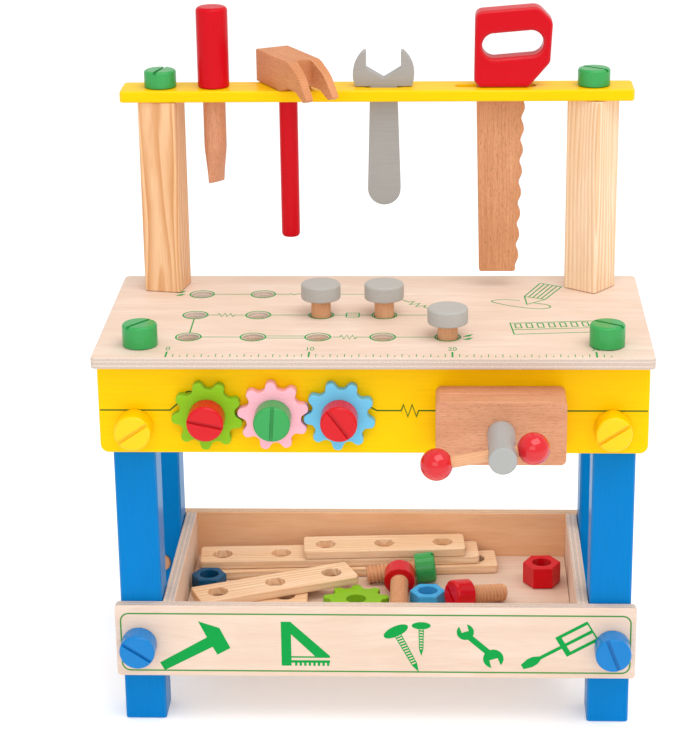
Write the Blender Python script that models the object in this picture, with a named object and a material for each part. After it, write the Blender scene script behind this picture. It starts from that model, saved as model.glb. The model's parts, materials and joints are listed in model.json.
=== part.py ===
"""Wooden toy tool bench: a legged bench with a drilled top, a tool rack on two
posts, a gear train and a vise on the front apron, and a parts tray below.

Metres, +Z up. The bench faces -Y, X runs to the right seen from the front, and
the origin is at floor level under the middle of the whole object.
"""

import math

import bmesh
import bpy

# --- overall layout -------------------------------------------------------
GAP = 0.0003            # clearance kept between pieces that touch
FRONT_Y = -0.0681       # Y of the bench top's front edge

TOP_WIDTH = 0.387
TOP_DEPTH = 0.192
TOP_THICKNESS = 0.008
TOP_HEIGHT = 0.287      # upper face of the bench top above the floor
TOP_CORNER = 0.004

HOLE_RADIUS = 0.0075
HOLE_PITCH = 0.04555    # the holes' spacing along X, in the top
HOLE_FIRST_X = -0.1302
HOLE_ROWS = ((0.046, 5), (0.0955, 5), (0.145, 4))   # depth of the row, holes in it

BOARD = 0.008           # thickness of the plywood boards
LEG = 0.030
LEG_X = 0.1685
LEG_FRONT_DEPTH = 0.0353
LEG_REAR_DEPTH = 0.1687
LEG_HEIGHT = TOP_HEIGHT - TOP_THICKNESS - GAP

APRON_WIDTH = 0.382
APRON_BOTTOM = 0.213
APRON_TOP = 0.2787
APRON_CORNER = 0.006
FRONT_BOARD_BACK = 0.020     # depth of the front boards' rear face
REAR_BOARD_FRONT = 0.184     # depth of the rear boards' front face

TRAY_WIDTH = 0.374
TRAY_BOTTOM = 0.039
TRAY_TOP = 0.095
TRAY_CORNER = 0.003
TRAY_SIDE_X = 0.1488
TRAY_SIDE_THICKNESS = 0.0085
TRAY_FLOOR_TOP = 0.0585
TRAY_FLOOR_THICKNESS = 0.006

# --- bolts ----------------------------------------------------------------
BOARD_BOLT = (0.0128, 0.0165)    # head radius and height: aprons, gears and tray
CORNER_BOLT = (0.0123, 0.0160)
RACK_BOLT = (0.0117, 0.0125)
LOOSE_BOLT = (0.0116, 0.0150)
BOLT_CHAMFER = 0.0022
BOLT_SHANK_RADIUS = 0.0068
BOLT_HOLE_RADIUS = 0.0072
SLOT_WIDTH = 0.0026
SLOT_DEPTH = 0.0021
APRON_BOLT_X = 0.166
APRON_BOLT_Z = 0.233
TRAY_BOLT_X = 0.170
TRAY_BOLT_Z = 0.065
CORNER_BOLT_X = 0.162
CORNER_BOLT_DEPTH = 0.0285
RACK_BOLT_X = 0.1575

# --- posts and rack ---------------------------------------------------------
POST_SIDE = 0.028
POST_X = 0.1575
POST_DEPTH = 0.164
POST_TURN_LEFT = math.radians(-11)
POST_TURN_RIGHT = math.radians(-37)
POST_TOP = 0.431
RACK_WIDTH = 0.372
RACK_DEPTH = 0.032
RACK_THICKNESS = 0.0085
RACK_BOTTOM = POST_TOP + GAP
RACK_TOP = RACK_BOTTOM + RACK_THICKNESS

# --- gears --------------------------------------------------------------------
GEAR_TEETH = 9
GEAR_TIP_RADIUS = 0.025
GEAR_ROOT_RADIUS = 0.0194
GEAR_THICKNESS = 0.0075
GEAR_BORE = 0.0074
GEAR_Z = 0.243
GEAR_PITCH = 0.046
GEAR_X = -0.0686        # the middle gear's axis

# --- vise -----------------------------------------------------------------------
VISE_X = 0.0883
JAW_WIDTH = 0.089
JAW_BOTTOM = 0.217
JAW_TOP = 0.2635
JAW_THICKNESS = 0.016
JAW_CORNER = 0.0035
SCREW_Z = 0.2405
SCREW_RADIUS = 0.0095
SCREW_NECK_RADIUS = 0.008
SCREW_FRONT = 0.0515    # how far the screw stands out of the front jaw
BAR_BACK = 0.015        # the handle bar's axis behind the screw's front end
BAR_RADIUS = 0.004
BAR_TILT = math.radians(10.2)
BALL_RADIUS = 0.011
BALL_RIGHT = 0.0208     # the balls' centres, measured from the screw's axis
BALL_LEFT = 0.0445
GUIDE_RADIUS = 0.004
GUIDE_OFFSET = 0.031

# --- pegs ---------------------------------------------------------------------
PEG_HEAD_RADIUS = 0.0142
PEG_HEAD_HEIGHT = 0.0115
PEG_STEM_RADIUS = 0.0070
PEG_STEM_LENGTH = 0.038

# --- loose pieces ---------------------------------------------------------------
STRAP_WIDTH = 0.030
STRAP_THICKNESS = 0.0065
STRAP_PITCH = 0.0455
STRAP_END = 0.017       # from the last hole's centre to the strap's end
LOOSE_SHANK = 0.038
SHORT_LOOSE_SHANK = 0.031


def at(x, depth, z):
    """A place given by X, the depth behind the top's front edge, and height."""
    return (x, FRONT_Y + depth, z)


# --- materials ------------------------------------------------------------------
def paint(name, colour, roughness):
    material = bpy.data.materials.new(name)
    material.use_nodes = True
    shader = material.node_tree.nodes["Principled BSDF"]
    shader.inputs["Base Color"].default_value = (*colour, 1.0)
    shader.inputs["Roughness"].default_value = roughness
    shader.inputs["Metallic"].default_value = 0.0
    return material


COLOURS = {
    "plywood": ((0.78, 0.60, 0.38), 0.55),
    "pine": ((0.80, 0.55, 0.30), 0.55),
    "beech": ((0.68, 0.38, 0.20), 0.55),
    "dowel": ((0.78, 0.52, 0.30), 0.55),
    "yellow": ((0.95, 0.55, 0.00), 0.40),
    "blue": ((0.01, 0.16, 0.42), 0.40),
    "sky_blue": ((0.10, 0.42, 0.70), 0.40),
    "green": ((0.03, 0.35, 0.10), 0.40),
    "lime": ((0.33, 0.60, 0.05), 0.40),
    "pink": ((0.95, 0.42, 0.48), 0.40),
    "red": ((0.70, 0.01, 0.02), 0.35),
    "grey": ((0.40, 0.38, 0.35), 0.45),
}


# --- mesh building ---------------------------------------------------------------
def add_object(name, bm, colour, parent, location=(0, 0, 0), rotation=(0, 0, 0), smooth=False):
    """Turns a bmesh into a named object with a material of its own."""
    bmesh.ops.recalc_face_normals(bm, faces=bm.faces)
    mesh = bpy.data.meshes.new(name)
    bm.to_mesh(mesh)
    bm.free()
    if smooth:
        mesh.shade_smooth()
        mesh.set_sharp_from_angle(angle=math.radians(32))
    mesh.materials.append(paint(name, *COLOURS[colour]))
    obj = bpy.data.objects.new(name, mesh)
    bpy.context.collection.objects.link(obj)
    obj.parent = parent
    obj.location = location
    obj.rotation_euler = rotation
    return obj


def add_cutter(name, bm, parent, location=(0, 0, 0), rotation=(0, 0, 0)):
    """A shape that is only used by a Boolean: shown as wire, never rendered."""
    obj = add_object(name, bm, "grey", parent, location, rotation)
    obj.hide_render = True
    obj.display_type = "WIRE"
    return obj


def boolean(target, tool, operation):
    modifier = target.modifiers.new(tool.name, "BOOLEAN")
    modifier.operation = operation
    modifier.solver = "EXACT"
    modifier.object = tool
    return modifier


def add_loop(bm, points):
    return [bm.verts.new(point) for point in points]


def bridge(bm, lower, upper):
    """Joins two rings of the same number of vertices with quads."""
    count = len(lower)
    for i in range(count):
        j = (i + 1) % count
        bm.faces.new((lower[i], lower[j], upper[j], upper[i]))


def prism(outline, low, high):
    """A flat outline in local XY, extruded from Z = low to Z = high."""
    bm = bmesh.new()
    bottom = add_loop(bm, [(x, y, low) for x, y in outline])
    top = add_loop(bm, [(x, y, high) for x, y in outline])
    bm.faces.new(bottom)
    bm.faces.new(top)
    bridge(bm, bottom, top)
    return bm


def turned(profile, segments):
    """A turned shape round local Z. The profile lists (radius, z) upwards."""
    bm = bmesh.new()
    rings = []
    for radius, z in profile:
        angles = [2 * math.pi * i / segments for i in range(segments)]
        rings.append(add_loop(bm, [(radius * math.cos(a), radius * math.sin(a), z) for a in angles]))
    for lower, upper in zip(rings, rings[1:]):
        bridge(bm, lower, upper)
    bm.faces.new(rings[0])
    bm.faces.new(rings[-1])
    return bm


def rods(places, radius, low, high, segments=22):
    """Upright cylinders at (x, y) places, for drilling holes. A place may name its own radius."""
    bm = bmesh.new()
    for cx, cy, *own in places:
        r = own[0] if own else radius
        angles = [2 * math.pi * i / segments for i in range(segments)]
        ring = [(cx + r * math.cos(a), cy + r * math.sin(a)) for a in angles]
        bottom = add_loop(bm, [(x, y, low) for x, y in ring])
        top = add_loop(bm, [(x, y, high) for x, y in ring])
        bm.faces.new(bottom)
        bm.faces.new(top)
        bridge(bm, bottom, top)
    return bm


def drill(target, places, radius, low, high, segments=22):
    """Drills round holes along the target's local Z."""
    name = target.name + "_drill_%d" % len(target.modifiers)
    tool = add_cutter(name, rods(places, radius, low, high, segments), target)
    boolean(target, tool, "DIFFERENCE")


def drill_across(target, location, rotation, radius, length, segments=22):
    """Drills one hole whose axis is turned away from the target's local Z."""
    name = target.name + "_bore_%d" % len(target.modifiers)
    shape = rods([(0, 0)], radius, -length / 2, length / 2, segments)
    tool = add_cutter(name, shape, target, location, rotation)
    boolean(target, tool, "DIFFERENCE")


def arc(cx, cy, radius, start, end, steps):
    """Points on an arc, angles in degrees, both ends included."""
    points = []
    for i in range(steps + 1):
        a = math.radians(start + (end - start) * i / steps)
        points.append((cx + radius * math.cos(a), cy + radius * math.sin(a)))
    return points


def rounded_rectangle(width, height, radius, cx=0.0, cy=0.0, steps=4):
    w = width / 2 - radius
    h = height / 2 - radius
    corners = ((w, h, 0), (-w, h, 90), (-w, -h, 180), (w, -h, 270))
    outline = []
    for x, y, start in corners:
        outline += arc(cx + x, cy + y, radius, start, start + 90, steps)
    return outline


def rounded_polygon(corners, steps=4):
    """An outline from (x, y, radius) corners, each rounded by its own radius."""
    outline = []
    count = len(corners)
    for i, (x, y, radius) in enumerate(corners):
        px, py, _ = corners[i - 1]
        nx, ny, _ = corners[(i + 1) % count]
        back = math.atan2(py - y, px - x)
        ahead = math.atan2(ny - y, nx - x)
        opening = (ahead - back + math.pi) % (2 * math.pi) - math.pi
        reach = radius / math.tan(abs(opening) / 2)
        start = (x + reach * math.cos(back), y + reach * math.sin(back))
        end = (x + reach * math.cos(ahead), y + reach * math.sin(ahead))
        for k in range(steps + 1):
            t = k / steps
            a = (1 - t) ** 2
            b = 2 * t * (1 - t)
            c = t ** 2
            outline.append((a * start[0] + b * x + c * end[0], a * start[1] + b * y + c * end[1]))
    return outline


# --- pieces that occur several times ------------------------------------------------
FACING_FRONT = (math.pi / 2, 0, 0)    # local Z points to -Y, local Y up
FACING_BACK = (-math.pi / 2, 0, 0)    # local Z points to +Y


def bolt(name, colour, size, shank, slot_angle, parent, location, rotation=(0, 0, 0)):
    """A slotted bolt. Its origin is under the head, local +Z points out of the head."""
    head, top = size
    profile = (
        (BOLT_SHANK_RADIUS - 0.001, -shank),
        (BOLT_SHANK_RADIUS, -shank + 0.001),
        (BOLT_SHANK_RADIUS, 0),
        (head - 0.0006, 0),
        (head, 0.0006),
        (head, top - BOLT_CHAMFER),
        (head - BOLT_CHAMFER * 0.45, top - BOLT_CHAMFER * 0.35),
        (head - BOLT_CHAMFER, top),
    )
    obj = add_object(name, turned(profile, 26), colour, parent, location, rotation, smooth=True)
    slot = prism(rounded_rectangle(0.030, SLOT_WIDTH, 0.0002, steps=1), top - SLOT_DEPTH, top + 0.002)
    tool = add_cutter(name + "_slot", slot, obj, (0, 0, 0), (0, 0, math.radians(slot_angle)))
    boolean(obj, tool, "DIFFERENCE")
    return obj


def gear_outline(phase):
    """Nine rounded teeth. The radius swings smoothly between root and tip."""
    sharpness = 1.6
    narrowing = 0.10
    low = math.tanh(sharpness * (-1 - narrowing))
    high = math.tanh(sharpness * (1 - narrowing))
    outline = []
    count = GEAR_TEETH * 12
    for i in range(count):
        a = 2 * math.pi * i / count
        swing = math.tanh(sharpness * (math.cos(GEAR_TEETH * a) - narrowing))
        share = (swing - low) / (high - low)
        radius = GEAR_ROOT_RADIUS + (GEAR_TIP_RADIUS - GEAR_ROOT_RADIUS) * share
        turn = a + math.radians(phase)
        outline.append((radius * math.cos(turn), radius * math.sin(turn)))
    return outline


def gear(name, colour, phase, parent, location, rotation=(0, 0, 0)):
    """A flat gear. Its origin is on its axis at the rear face."""
    shape = prism(gear_outline(phase), 0, GEAR_THICKNESS)
    obj = add_object(name, shape, colour, parent, location, rotation)
    drill(obj, [(0, 0)], GEAR_BORE, -0.002, GEAR_THICKNESS + 0.002)
    return obj


def strap(name, holes, parent, location, turn):
    """A flat bar with a row of holes. Its origin is at the middle of its underside."""
    length = STRAP_PITCH * (holes - 1) + 2 * STRAP_END
    outline = rounded_rectangle(length, STRAP_WIDTH, 0.003, steps=3)
    shape = prism(outline, 0, STRAP_THICKNESS)
    obj = add_object(name, shape, "pine", parent, location, (0, 0, math.radians(turn)))
    places = [((i - (holes - 1) / 2) * STRAP_PITCH, 0) for i in range(holes)]
    drill(obj, places, HOLE_RADIUS, -0.002, STRAP_THICKNESS + 0.002)
    return obj


def nut(name, colour, corner_radius, height, parent, location, turn=0.0):
    """A hexagonal nut lying flat. Its origin is at the middle of its underside."""
    chamfer = 0.001
    bm = bmesh.new()
    rings = []
    levels = ((corner_radius - chamfer, 0), (corner_radius, chamfer),
              (corner_radius, height - chamfer), (corner_radius - chamfer, height))
    for radius, z in levels:
        hexagon = arc(0, 0, radius, 0, 300, 5)
        rings.append(add_loop(bm, [(x, y, z) for x, y in hexagon]))
    for lower, upper in zip(rings, rings[1:]):
        bridge(bm, lower, upper)
    bm.faces.new(rings[0])
    bm.faces.new(rings[-1])
    obj = add_object(name, bm, colour, parent, location, (0, 0, math.radians(turn)))
    drill(obj, [(0, 0)], BOLT_HOLE_RADIUS, -0.002, height + 0.002)
    return obj


# --- the frame of the bench -------------------------------------------------------------
def make_top(root):
    outline = rounded_rectangle(TOP_WIDTH, TOP_DEPTH, TOP_CORNER, steps=5)
    shape = prism(outline, -TOP_THICKNESS, 0)
    top = add_object("tabletop", shape, "plywood", root, at(0, TOP_DEPTH / 2, TOP_HEIGHT))
    places = []
    for depth, count in HOLE_ROWS:
        for i in range(count):
            places.append((HOLE_FIRST_X + i * HOLE_PITCH, depth - TOP_DEPTH / 2))
    drill(top, places, HOLE_RADIUS, -0.012, 0.004)
    fixings = []
    for side in (-1, 1):
        fixings.append((side * CORNER_BOLT_X, CORNER_BOLT_DEPTH - TOP_DEPTH / 2))
        fixings.append((side * POST_X, POST_DEPTH - TOP_DEPTH / 2))
    drill(top, fixings, BOLT_HOLE_RADIUS, -0.012, 0.004)
    return top


def make_leg(name, side, depth, root):
    outline = rounded_rectangle(LEG, LEG, 0.002, steps=2)
    place = at(side * LEG_X, depth, 0)
    leg = add_object(name, prism(outline, 0, LEG_HEIGHT), "blue", root, place)
    tray_bolt = (side * (TRAY_BOLT_X - LEG_X), 0, TRAY_BOLT_Z)
    drill_across(leg, tray_bolt, FACING_FRONT, BOLT_HOLE_RADIUS, 0.05)
    if depth < 0.1:
        apron_bolt = (side * (APRON_BOLT_X - LEG_X), 0, APRON_BOLT_Z)
        drill_across(leg, apron_bolt, FACING_FRONT, BOLT_HOLE_RADIUS, 0.05)
        corner = (side * (CORNER_BOLT_X - LEG_X), CORNER_BOLT_DEPTH - depth)
        drill(leg, [corner], BOLT_HOLE_RADIUS, LEG_HEIGHT - 0.030, LEG_HEIGHT + 0.01)
    return leg


def make_board(name, colour, width, bottom, top, back_depth, corner, root):
    """An upright board facing the front. Its origin is in its rear face's middle."""
    height = top - bottom
    place = at(0, back_depth, (bottom + top) / 2)
    shape = prism(rounded_rectangle(width, height, corner, steps=4), 0, BOARD)
    return add_object(name, shape, colour, root, place, FACING_FRONT)


def make_frame(root):
    make_top(root)
    for end, depth in (("front", LEG_FRONT_DEPTH), ("rear", LEG_REAR_DEPTH)):
        make_leg("leg_%s_left" % end, -1, depth, root)
        make_leg("leg_%s_right" % end, 1, depth, root)
    apron_middle = (APRON_BOTTOM + APRON_TOP) / 2
    apron = make_board("front_apron", "yellow", APRON_WIDTH, APRON_BOTTOM, APRON_TOP,
                       FRONT_BOARD_BACK, APRON_CORNER, root)
    bolts = [(side * APRON_BOLT_X, APRON_BOLT_Z - apron_middle) for side in (-1, 1)]
    axles = [(GEAR_X + i * GEAR_PITCH, GEAR_Z - apron_middle) for i in (-1, 0, 1)]
    drill(apron, bolts + axles, BOLT_HOLE_RADIUS, -0.004, BOARD + 0.004)
    screw = [(VISE_X, SCREW_Z - apron_middle)]
    drill(apron, screw, SCREW_NECK_RADIUS + GAP, -0.004, BOARD + 0.004)
    guides = [(VISE_X + side * GUIDE_OFFSET, SCREW_Z - apron_middle) for side in (-1, 1)]
    drill(apron, guides, GUIDE_RADIUS + GAP, -0.004, BOARD + 0.004, 16)
    make_board("back_apron", "yellow", TRAY_WIDTH, APRON_BOTTOM, APRON_TOP,
               REAR_BOARD_FRONT + BOARD, APRON_CORNER, root)


def make_tray(root):
    middle = (TRAY_BOTTOM + TRAY_TOP) / 2
    bolts = [(side * TRAY_BOLT_X, TRAY_BOLT_Z - middle) for side in (-1, 1)]
    for name, back in (("tray_front", FRONT_BOARD_BACK), ("tray_back", REAR_BOARD_FRONT + BOARD)):
        board = make_board(name, "plywood", TRAY_WIDTH, TRAY_BOTTOM, TRAY_TOP, back, TRAY_CORNER, root)
        drill(board, bolts, BOLT_HOLE_RADIUS, -0.004, BOARD + 0.004)
    inner_front = FRONT_BOARD_BACK + GAP
    inner_back = REAR_BOARD_FRONT - GAP
    length = inner_back - inner_front
    centre = (inner_front + inner_back) / 2
    for name, side in (("tray_left", -1), ("tray_right", 1)):
        outline = rounded_rectangle(TRAY_SIDE_THICKNESS, length, 0.0005, steps=1)
        shape = prism(outline, 0, TRAY_TOP - TRAY_BOTTOM)
        add_object(name, shape, "plywood", root, at(side * TRAY_SIDE_X, centre, TRAY_BOTTOM))
    floor_width = 2 * (TRAY_SIDE_X - TRAY_SIDE_THICKNESS / 2 - GAP)
    shape = prism(rounded_rectangle(floor_width, length, 0.0005, steps=1), -TRAY_FLOOR_THICKNESS, 0)
    add_object("tray_floor", shape, "plywood", root, at(0, centre, TRAY_FLOOR_TOP))


def make_post(name, side, turn, root):
    """A square post with a round tenon that sits in the bench top."""
    foot = TOP_HEIGHT + GAP
    outline = rounded_rectangle(POST_SIDE, POST_SIDE, 0.002, steps=2)
    shape = prism(outline, 0, POST_TOP - foot)
    place = at(side * POST_X, POST_DEPTH, foot)
    post = add_object(name, shape, "pine", root, place, (0, 0, turn))
    tenon = rods([(0, 0)], BOLT_SHANK_RADIUS, -TOP_THICKNESS, 0.005)
    boolean(post, add_cutter(name + "_tenon", tenon, post), "UNION")
    drill(post, [(0, 0)], BOLT_HOLE_RADIUS, POST_TOP - foot - 0.032, POST_TOP - foot + 0.01)
    return post


# --- bolts that hold the bench together ------------------------------------------------
def make_fixed_bolts(root):
    shank = BOARD + LEG + 0.0026
    face = FRONT_BOARD_BACK - BOARD - GAP
    rear = REAR_BOARD_FRONT + BOARD + GAP
    for side, end, apron_slot, tray_slot in ((-1, "left", 34, -34), (1, "right", 33, -69)):
        x = side * APRON_BOLT_X
        bolt("apron_bolt_" + end, "yellow", BOARD_BOLT, shank, apron_slot, root,
             at(x, face, APRON_BOLT_Z), FACING_FRONT)
        x = side * TRAY_BOLT_X
        bolt("tray_bolt_front_" + end, "blue", BOARD_BOLT, shank, tray_slot, root,
             at(x, face, TRAY_BOLT_Z), FACING_FRONT)
        bolt("tray_bolt_rear_" + end, "blue", BOARD_BOLT, shank, tray_slot, root,
             at(x, rear, TRAY_BOLT_Z), FACING_BACK)
    corner_shank = TOP_THICKNESS + 0.028
    top = TOP_HEIGHT + GAP
    bolt("corner_bolt_left", "green", CORNER_BOLT, corner_shank, 52, root,
         at(-CORNER_BOLT_X, CORNER_BOLT_DEPTH, top))
    bolt("corner_bolt_right", "green", CORNER_BOLT, corner_shank, -34, root,
         at(CORNER_BOLT_X, CORNER_BOLT_DEPTH, top))
    rack_shank = RACK_THICKNESS + 0.030
    bolt("rack_bolt_left", "green", RACK_BOLT, rack_shank, 76, root,
         at(-RACK_BOLT_X, POST_DEPTH, RACK_TOP + GAP))
    bolt("rack_bolt_right", "green", RACK_BOLT, rack_shank, -38, root,
         at(RACK_BOLT_X, POST_DEPTH, RACK_TOP + GAP))


# --- gear train --------------------------------------------------------------------------
def make_gears(root):
    gear_back = FRONT_BOARD_BACK - BOARD - GAP
    head_back = gear_back - GEAR_THICKNESS - GAP
    shank = GEAR_THICKNESS + BOARD + 0.022
    rows = (
        ("green", "lime", 26, "red", -12, -1),
        ("pink", "pink", 14, "green", 86, 0),
        ("blue", "sky_blue", 26, "red", -54, 1),
    )
    for name, colour, phase, bolt_colour, slot, step in rows:
        x = GEAR_X + step * GEAR_PITCH
        gear("gear_" + name, colour, phase, root, at(x, gear_back, GEAR_Z), FACING_FRONT)
        bolt("gear_bolt_" + name, bolt_colour, BOARD_BOLT, shank, slot, root,
             at(x, head_back, GEAR_Z), FACING_FRONT)


# --- vise ------------------------------------------------------------------------------------
def make_jaw(name, back_depth, parent):
    """A jaw block. Its origin is on the screw's axis in the jaw's rear face."""
    middle = (JAW_BOTTOM + JAW_TOP) / 2 - SCREW_Z
    outline = rounded_rectangle(JAW_WIDTH, JAW_TOP - JAW_BOTTOM, JAW_CORNER, 0, middle)
    shape = prism(outline, 0, JAW_THICKNESS)
    return add_object(name, shape, "beech", parent, at(VISE_X, back_depth, SCREW_Z), FACING_FRONT)


def make_vise(root):
    rear_back = FRONT_BOARD_BACK - BOARD - GAP
    front_back = rear_back - JAW_THICKNESS - 0.0005
    guides = [(-GUIDE_OFFSET, 0), (GUIDE_OFFSET, 0)]

    rear = make_jaw("vise_rear_jaw", rear_back, root)
    drill(rear, [(0, 0)], SCREW_NECK_RADIUS + GAP, -0.004, JAW_THICKNESS + 0.004)
    drill(rear, guides, GUIDE_RADIUS + GAP, -0.004, JAW_THICKNESS + 0.004, 16)

    front = make_jaw("vise_front_jaw", front_back, root)
    drill(front, [(0, 0)], SCREW_NECK_RADIUS + GAP, -0.004, JAW_THICKNESS + 0.004)
    pins = rods(guides, GUIDE_RADIUS, -0.054, 0.008, 16)
    boolean(front, add_cutter("vise_guide_pins", pins, front), "UNION")

    shoulder = front_back - JAW_THICKNESS - GAP
    tip = SCREW_FRONT
    tail = -JAW_THICKNESS - JAW_THICKNESS - BOARD - 0.040
    profile = (
        (SCREW_NECK_RADIUS - 0.0012, tail),
        (SCREW_NECK_RADIUS, tail + 0.0012),
        (SCREW_NECK_RADIUS, 0),
        (SCREW_RADIUS, 0),
        (SCREW_RADIUS, tip - 0.0014),
        (SCREW_RADIUS - 0.0004, tip - 0.0006),
        (SCREW_RADIUS - 0.0012, tip),
    )
    screw = add_object("vise_screw", turned(profile, 32), "grey", root,
                       at(VISE_X, shoulder, SCREW_Z), FACING_FRONT, smooth=True)
    bar_z = tip - BAR_BACK
    drill_across(screw, (0, 0, bar_z), (0, math.pi / 2, BAR_TILT), BAR_RADIUS + GAP, 0.04)

    handle = bpy.data.objects.new("vise_handle", None)
    bpy.context.collection.objects.link(handle)
    handle.parent = root
    handle.location = at(VISE_X, shoulder - bar_z, SCREW_Z)
    handle.rotation_euler = (0, math.pi / 2 - BAR_TILT, 0)
    low = -BALL_LEFT - BALL_RADIUS + 0.011
    high = BALL_RIGHT + BALL_RADIUS - 0.011
    bar = ((BAR_RADIUS - 0.0005, low), (BAR_RADIUS, low + 0.0005),
           (BAR_RADIUS, high - 0.0005), (BAR_RADIUS - 0.0005, high))
    add_object("vise_bar", turned(bar, 20), "dowel", handle, smooth=True)
    for end, z, inward in (("left", -BALL_LEFT, 1), ("right", BALL_RIGHT, -1)):
        angles = [math.radians(-87 + 174 * i / 14) for i in range(15)]
        ball = turned([(BALL_RADIUS * math.cos(a), BALL_RADIUS * math.sin(a)) for a in angles], 24)
        obj = add_object("vise_ball_" + end, ball, "red", handle, (0, 0, z), smooth=True)
        near = -GAP if inward > 0 else -0.015
        far = 0.015 if inward > 0 else GAP
        drill(obj, [(0, 0)], BAR_RADIUS + GAP, near, far, 20)


# --- pegs -------------------------------------------------------------------------------------
def make_pegs(root):
    rows = (("peg_left", 2, 1, 0.0130), ("peg_middle", 3, 1, 0.0130), ("peg_right", 4, 0, 0.0108))
    top = PEG_HEAD_HEIGHT
    profile = (
        (PEG_STEM_RADIUS - 0.001, -PEG_STEM_LENGTH),
        (PEG_STEM_RADIUS, -PEG_STEM_LENGTH + 0.001),
        (PEG_STEM_RADIUS, 0),
        (PEG_HEAD_RADIUS - 0.0012, 0),
        (PEG_HEAD_RADIUS, 0.0012),
        (PEG_HEAD_RADIUS, top - 0.0025),
        (PEG_HEAD_RADIUS - 0.0010, top - 0.0008),
        (PEG_HEAD_RADIUS - 0.0030, top),
    )
    for name, column, row, raised in rows:
        x = HOLE_FIRST_X + column * HOLE_PITCH
        depth = HOLE_ROWS[row][0]
        place = at(x, depth, TOP_HEIGHT + raised)
        add_object(name, turned(profile, 32), "grey", root, place, smooth=True)


# --- rack and the tools hanging in it --------------------------------------------------------------
SCREWDRIVER_X = -0.1185
HAMMER_X = -0.0643
WRENCH_X = 0.0054
SAW_X = 0.0905


def make_rack(root):
    outline = rounded_rectangle(RACK_WIDTH, RACK_DEPTH, 0.003)
    shape = prism(outline, 0, RACK_THICKNESS)
    rack = add_object("tool_rack", shape, "yellow", root, at(0, POST_DEPTH, RACK_BOTTOM))
    low = -0.004
    high = RACK_THICKNESS + 0.004
    round_holes = [(-RACK_BOLT_X, 0), (RACK_BOLT_X, 0), (SCREWDRIVER_X, 0, 0.0090), (HAMMER_X, 0, 0.0078)]
    drill(rack, round_holes, BOLT_HOLE_RADIUS, low, high)
    slots = (("wrench_slot", WRENCH_X, 0.030, 0.0105), ("saw_slot", 0.0865, 0.058, 0.0100))
    for name, x, length, width in slots:
        shape = prism(rounded_rectangle(length, width, width * 0.45), low, high)
        boolean(rack, add_cutter(name, shape, rack, (x, 0, 0)), "DIFFERENCE")
    return rack


def make_screwdriver(root):
    seat = RACK_TOP + GAP
    handle_profile = (
        (0.0105, 0), (0.0115, 0.001), (0.0115, 0.0555), (0.0110, 0.0575), (0.0095, 0.0585),
    )
    place = at(SCREWDRIVER_X, POST_DEPTH, seat)
    handle = add_object("screwdriver_handle", turned(handle_profile, 32), "red", root, place, smooth=True)
    drill(handle, [(0, 0)], 0.0085, -0.005, 0.0203)
    sections = (
        (0.0200, 0.0082, 0.0082),
        (-0.0440, 0.0082, 0.0082),
        (-0.0540, 0.0081, 0.0062),
        (-0.0640, 0.0079, 0.0036),
        (-0.0715, 0.0077, 0.0016),
    )
    bm = bmesh.new()
    rings = []
    for z, half_width, half_thickness in reversed(sections):
        angles = [2 * math.pi * i / 24 for i in range(24)]
        ring = [(half_width * math.cos(a), half_thickness * math.sin(a), z) for a in angles]
        rings.append(add_loop(bm, ring))
    for lower, upper in zip(rings, rings[1:]):
        bridge(bm, lower, upper)
    bm.faces.new(rings[0])
    bm.faces.new(rings[-1])
    add_object("screwdriver_blade", bm, "beech", root, place, (0, 0, math.radians(48)), smooth=True)


HAMMER_HEAD_TURN = math.radians(-61.6)
HAMMER_GRIP = 0.0274     # from the striking face to the handle's axis
HAMMER_WIDTH = 0.026


def make_hammer(root):
    """The head's side outline, striking face at the left, is extruded to its width."""
    seat = RACK_TOP + GAP
    corners = (
        (0.0000, 0.0000, 0.0006),
        (0.0400, 0.0000, 0.0020),
        (0.0520, 0.0045, 0.0060),
        (0.0680, 0.0042, 0.0080),
        (0.0800, -0.0010, 0.0006),
        (0.0865, 0.0015, 0.0006),
        (0.0735, 0.0160, 0.0250),
        (0.0560, 0.0238, 0.0200),
        (0.0000, 0.0238, 0.0006),
    )
    outline = [(x - HAMMER_GRIP, y) for x, y in rounded_polygon(corners, 3)]
    shape = prism(outline, -HAMMER_WIDTH / 2, HAMMER_WIDTH / 2)
    place = at(HAMMER_X, POST_DEPTH, seat)
    turn = (math.pi / 2, 0, HAMMER_HEAD_TURN)
    head = add_object("hammer_head", shape, "beech", root, place, turn)
    gap_corners = ((0.0530, -0.0052, 0.0045), (0.0950, -0.0082, 0.0005),
                   (0.0950, 0.0082, 0.0005), (0.0530, 0.0052, 0.0045))
    gap = prism([(x - HAMMER_GRIP, y) for x, y in rounded_polygon(gap_corners, 4)], -0.02, 0.04)
    boolean(head, add_cutter("claw_gap", gap, head, (0, 0, 0), (-math.pi / 2, 0, 0)), "DIFFERENCE")
    drill_across(head, (0, 0.004, 0), (math.pi / 2, 0, 0), 0.0071, 0.0280)
    profile = (
        (0.0050, -0.1130), (0.0064, -0.1120), (0.0068, -0.1095), (0.0068, 0.0165), (0.0064, 0.0170),
    )
    add_object("hammer_handle", turned(profile, 24), "red", root, place, smooth=True)


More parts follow.
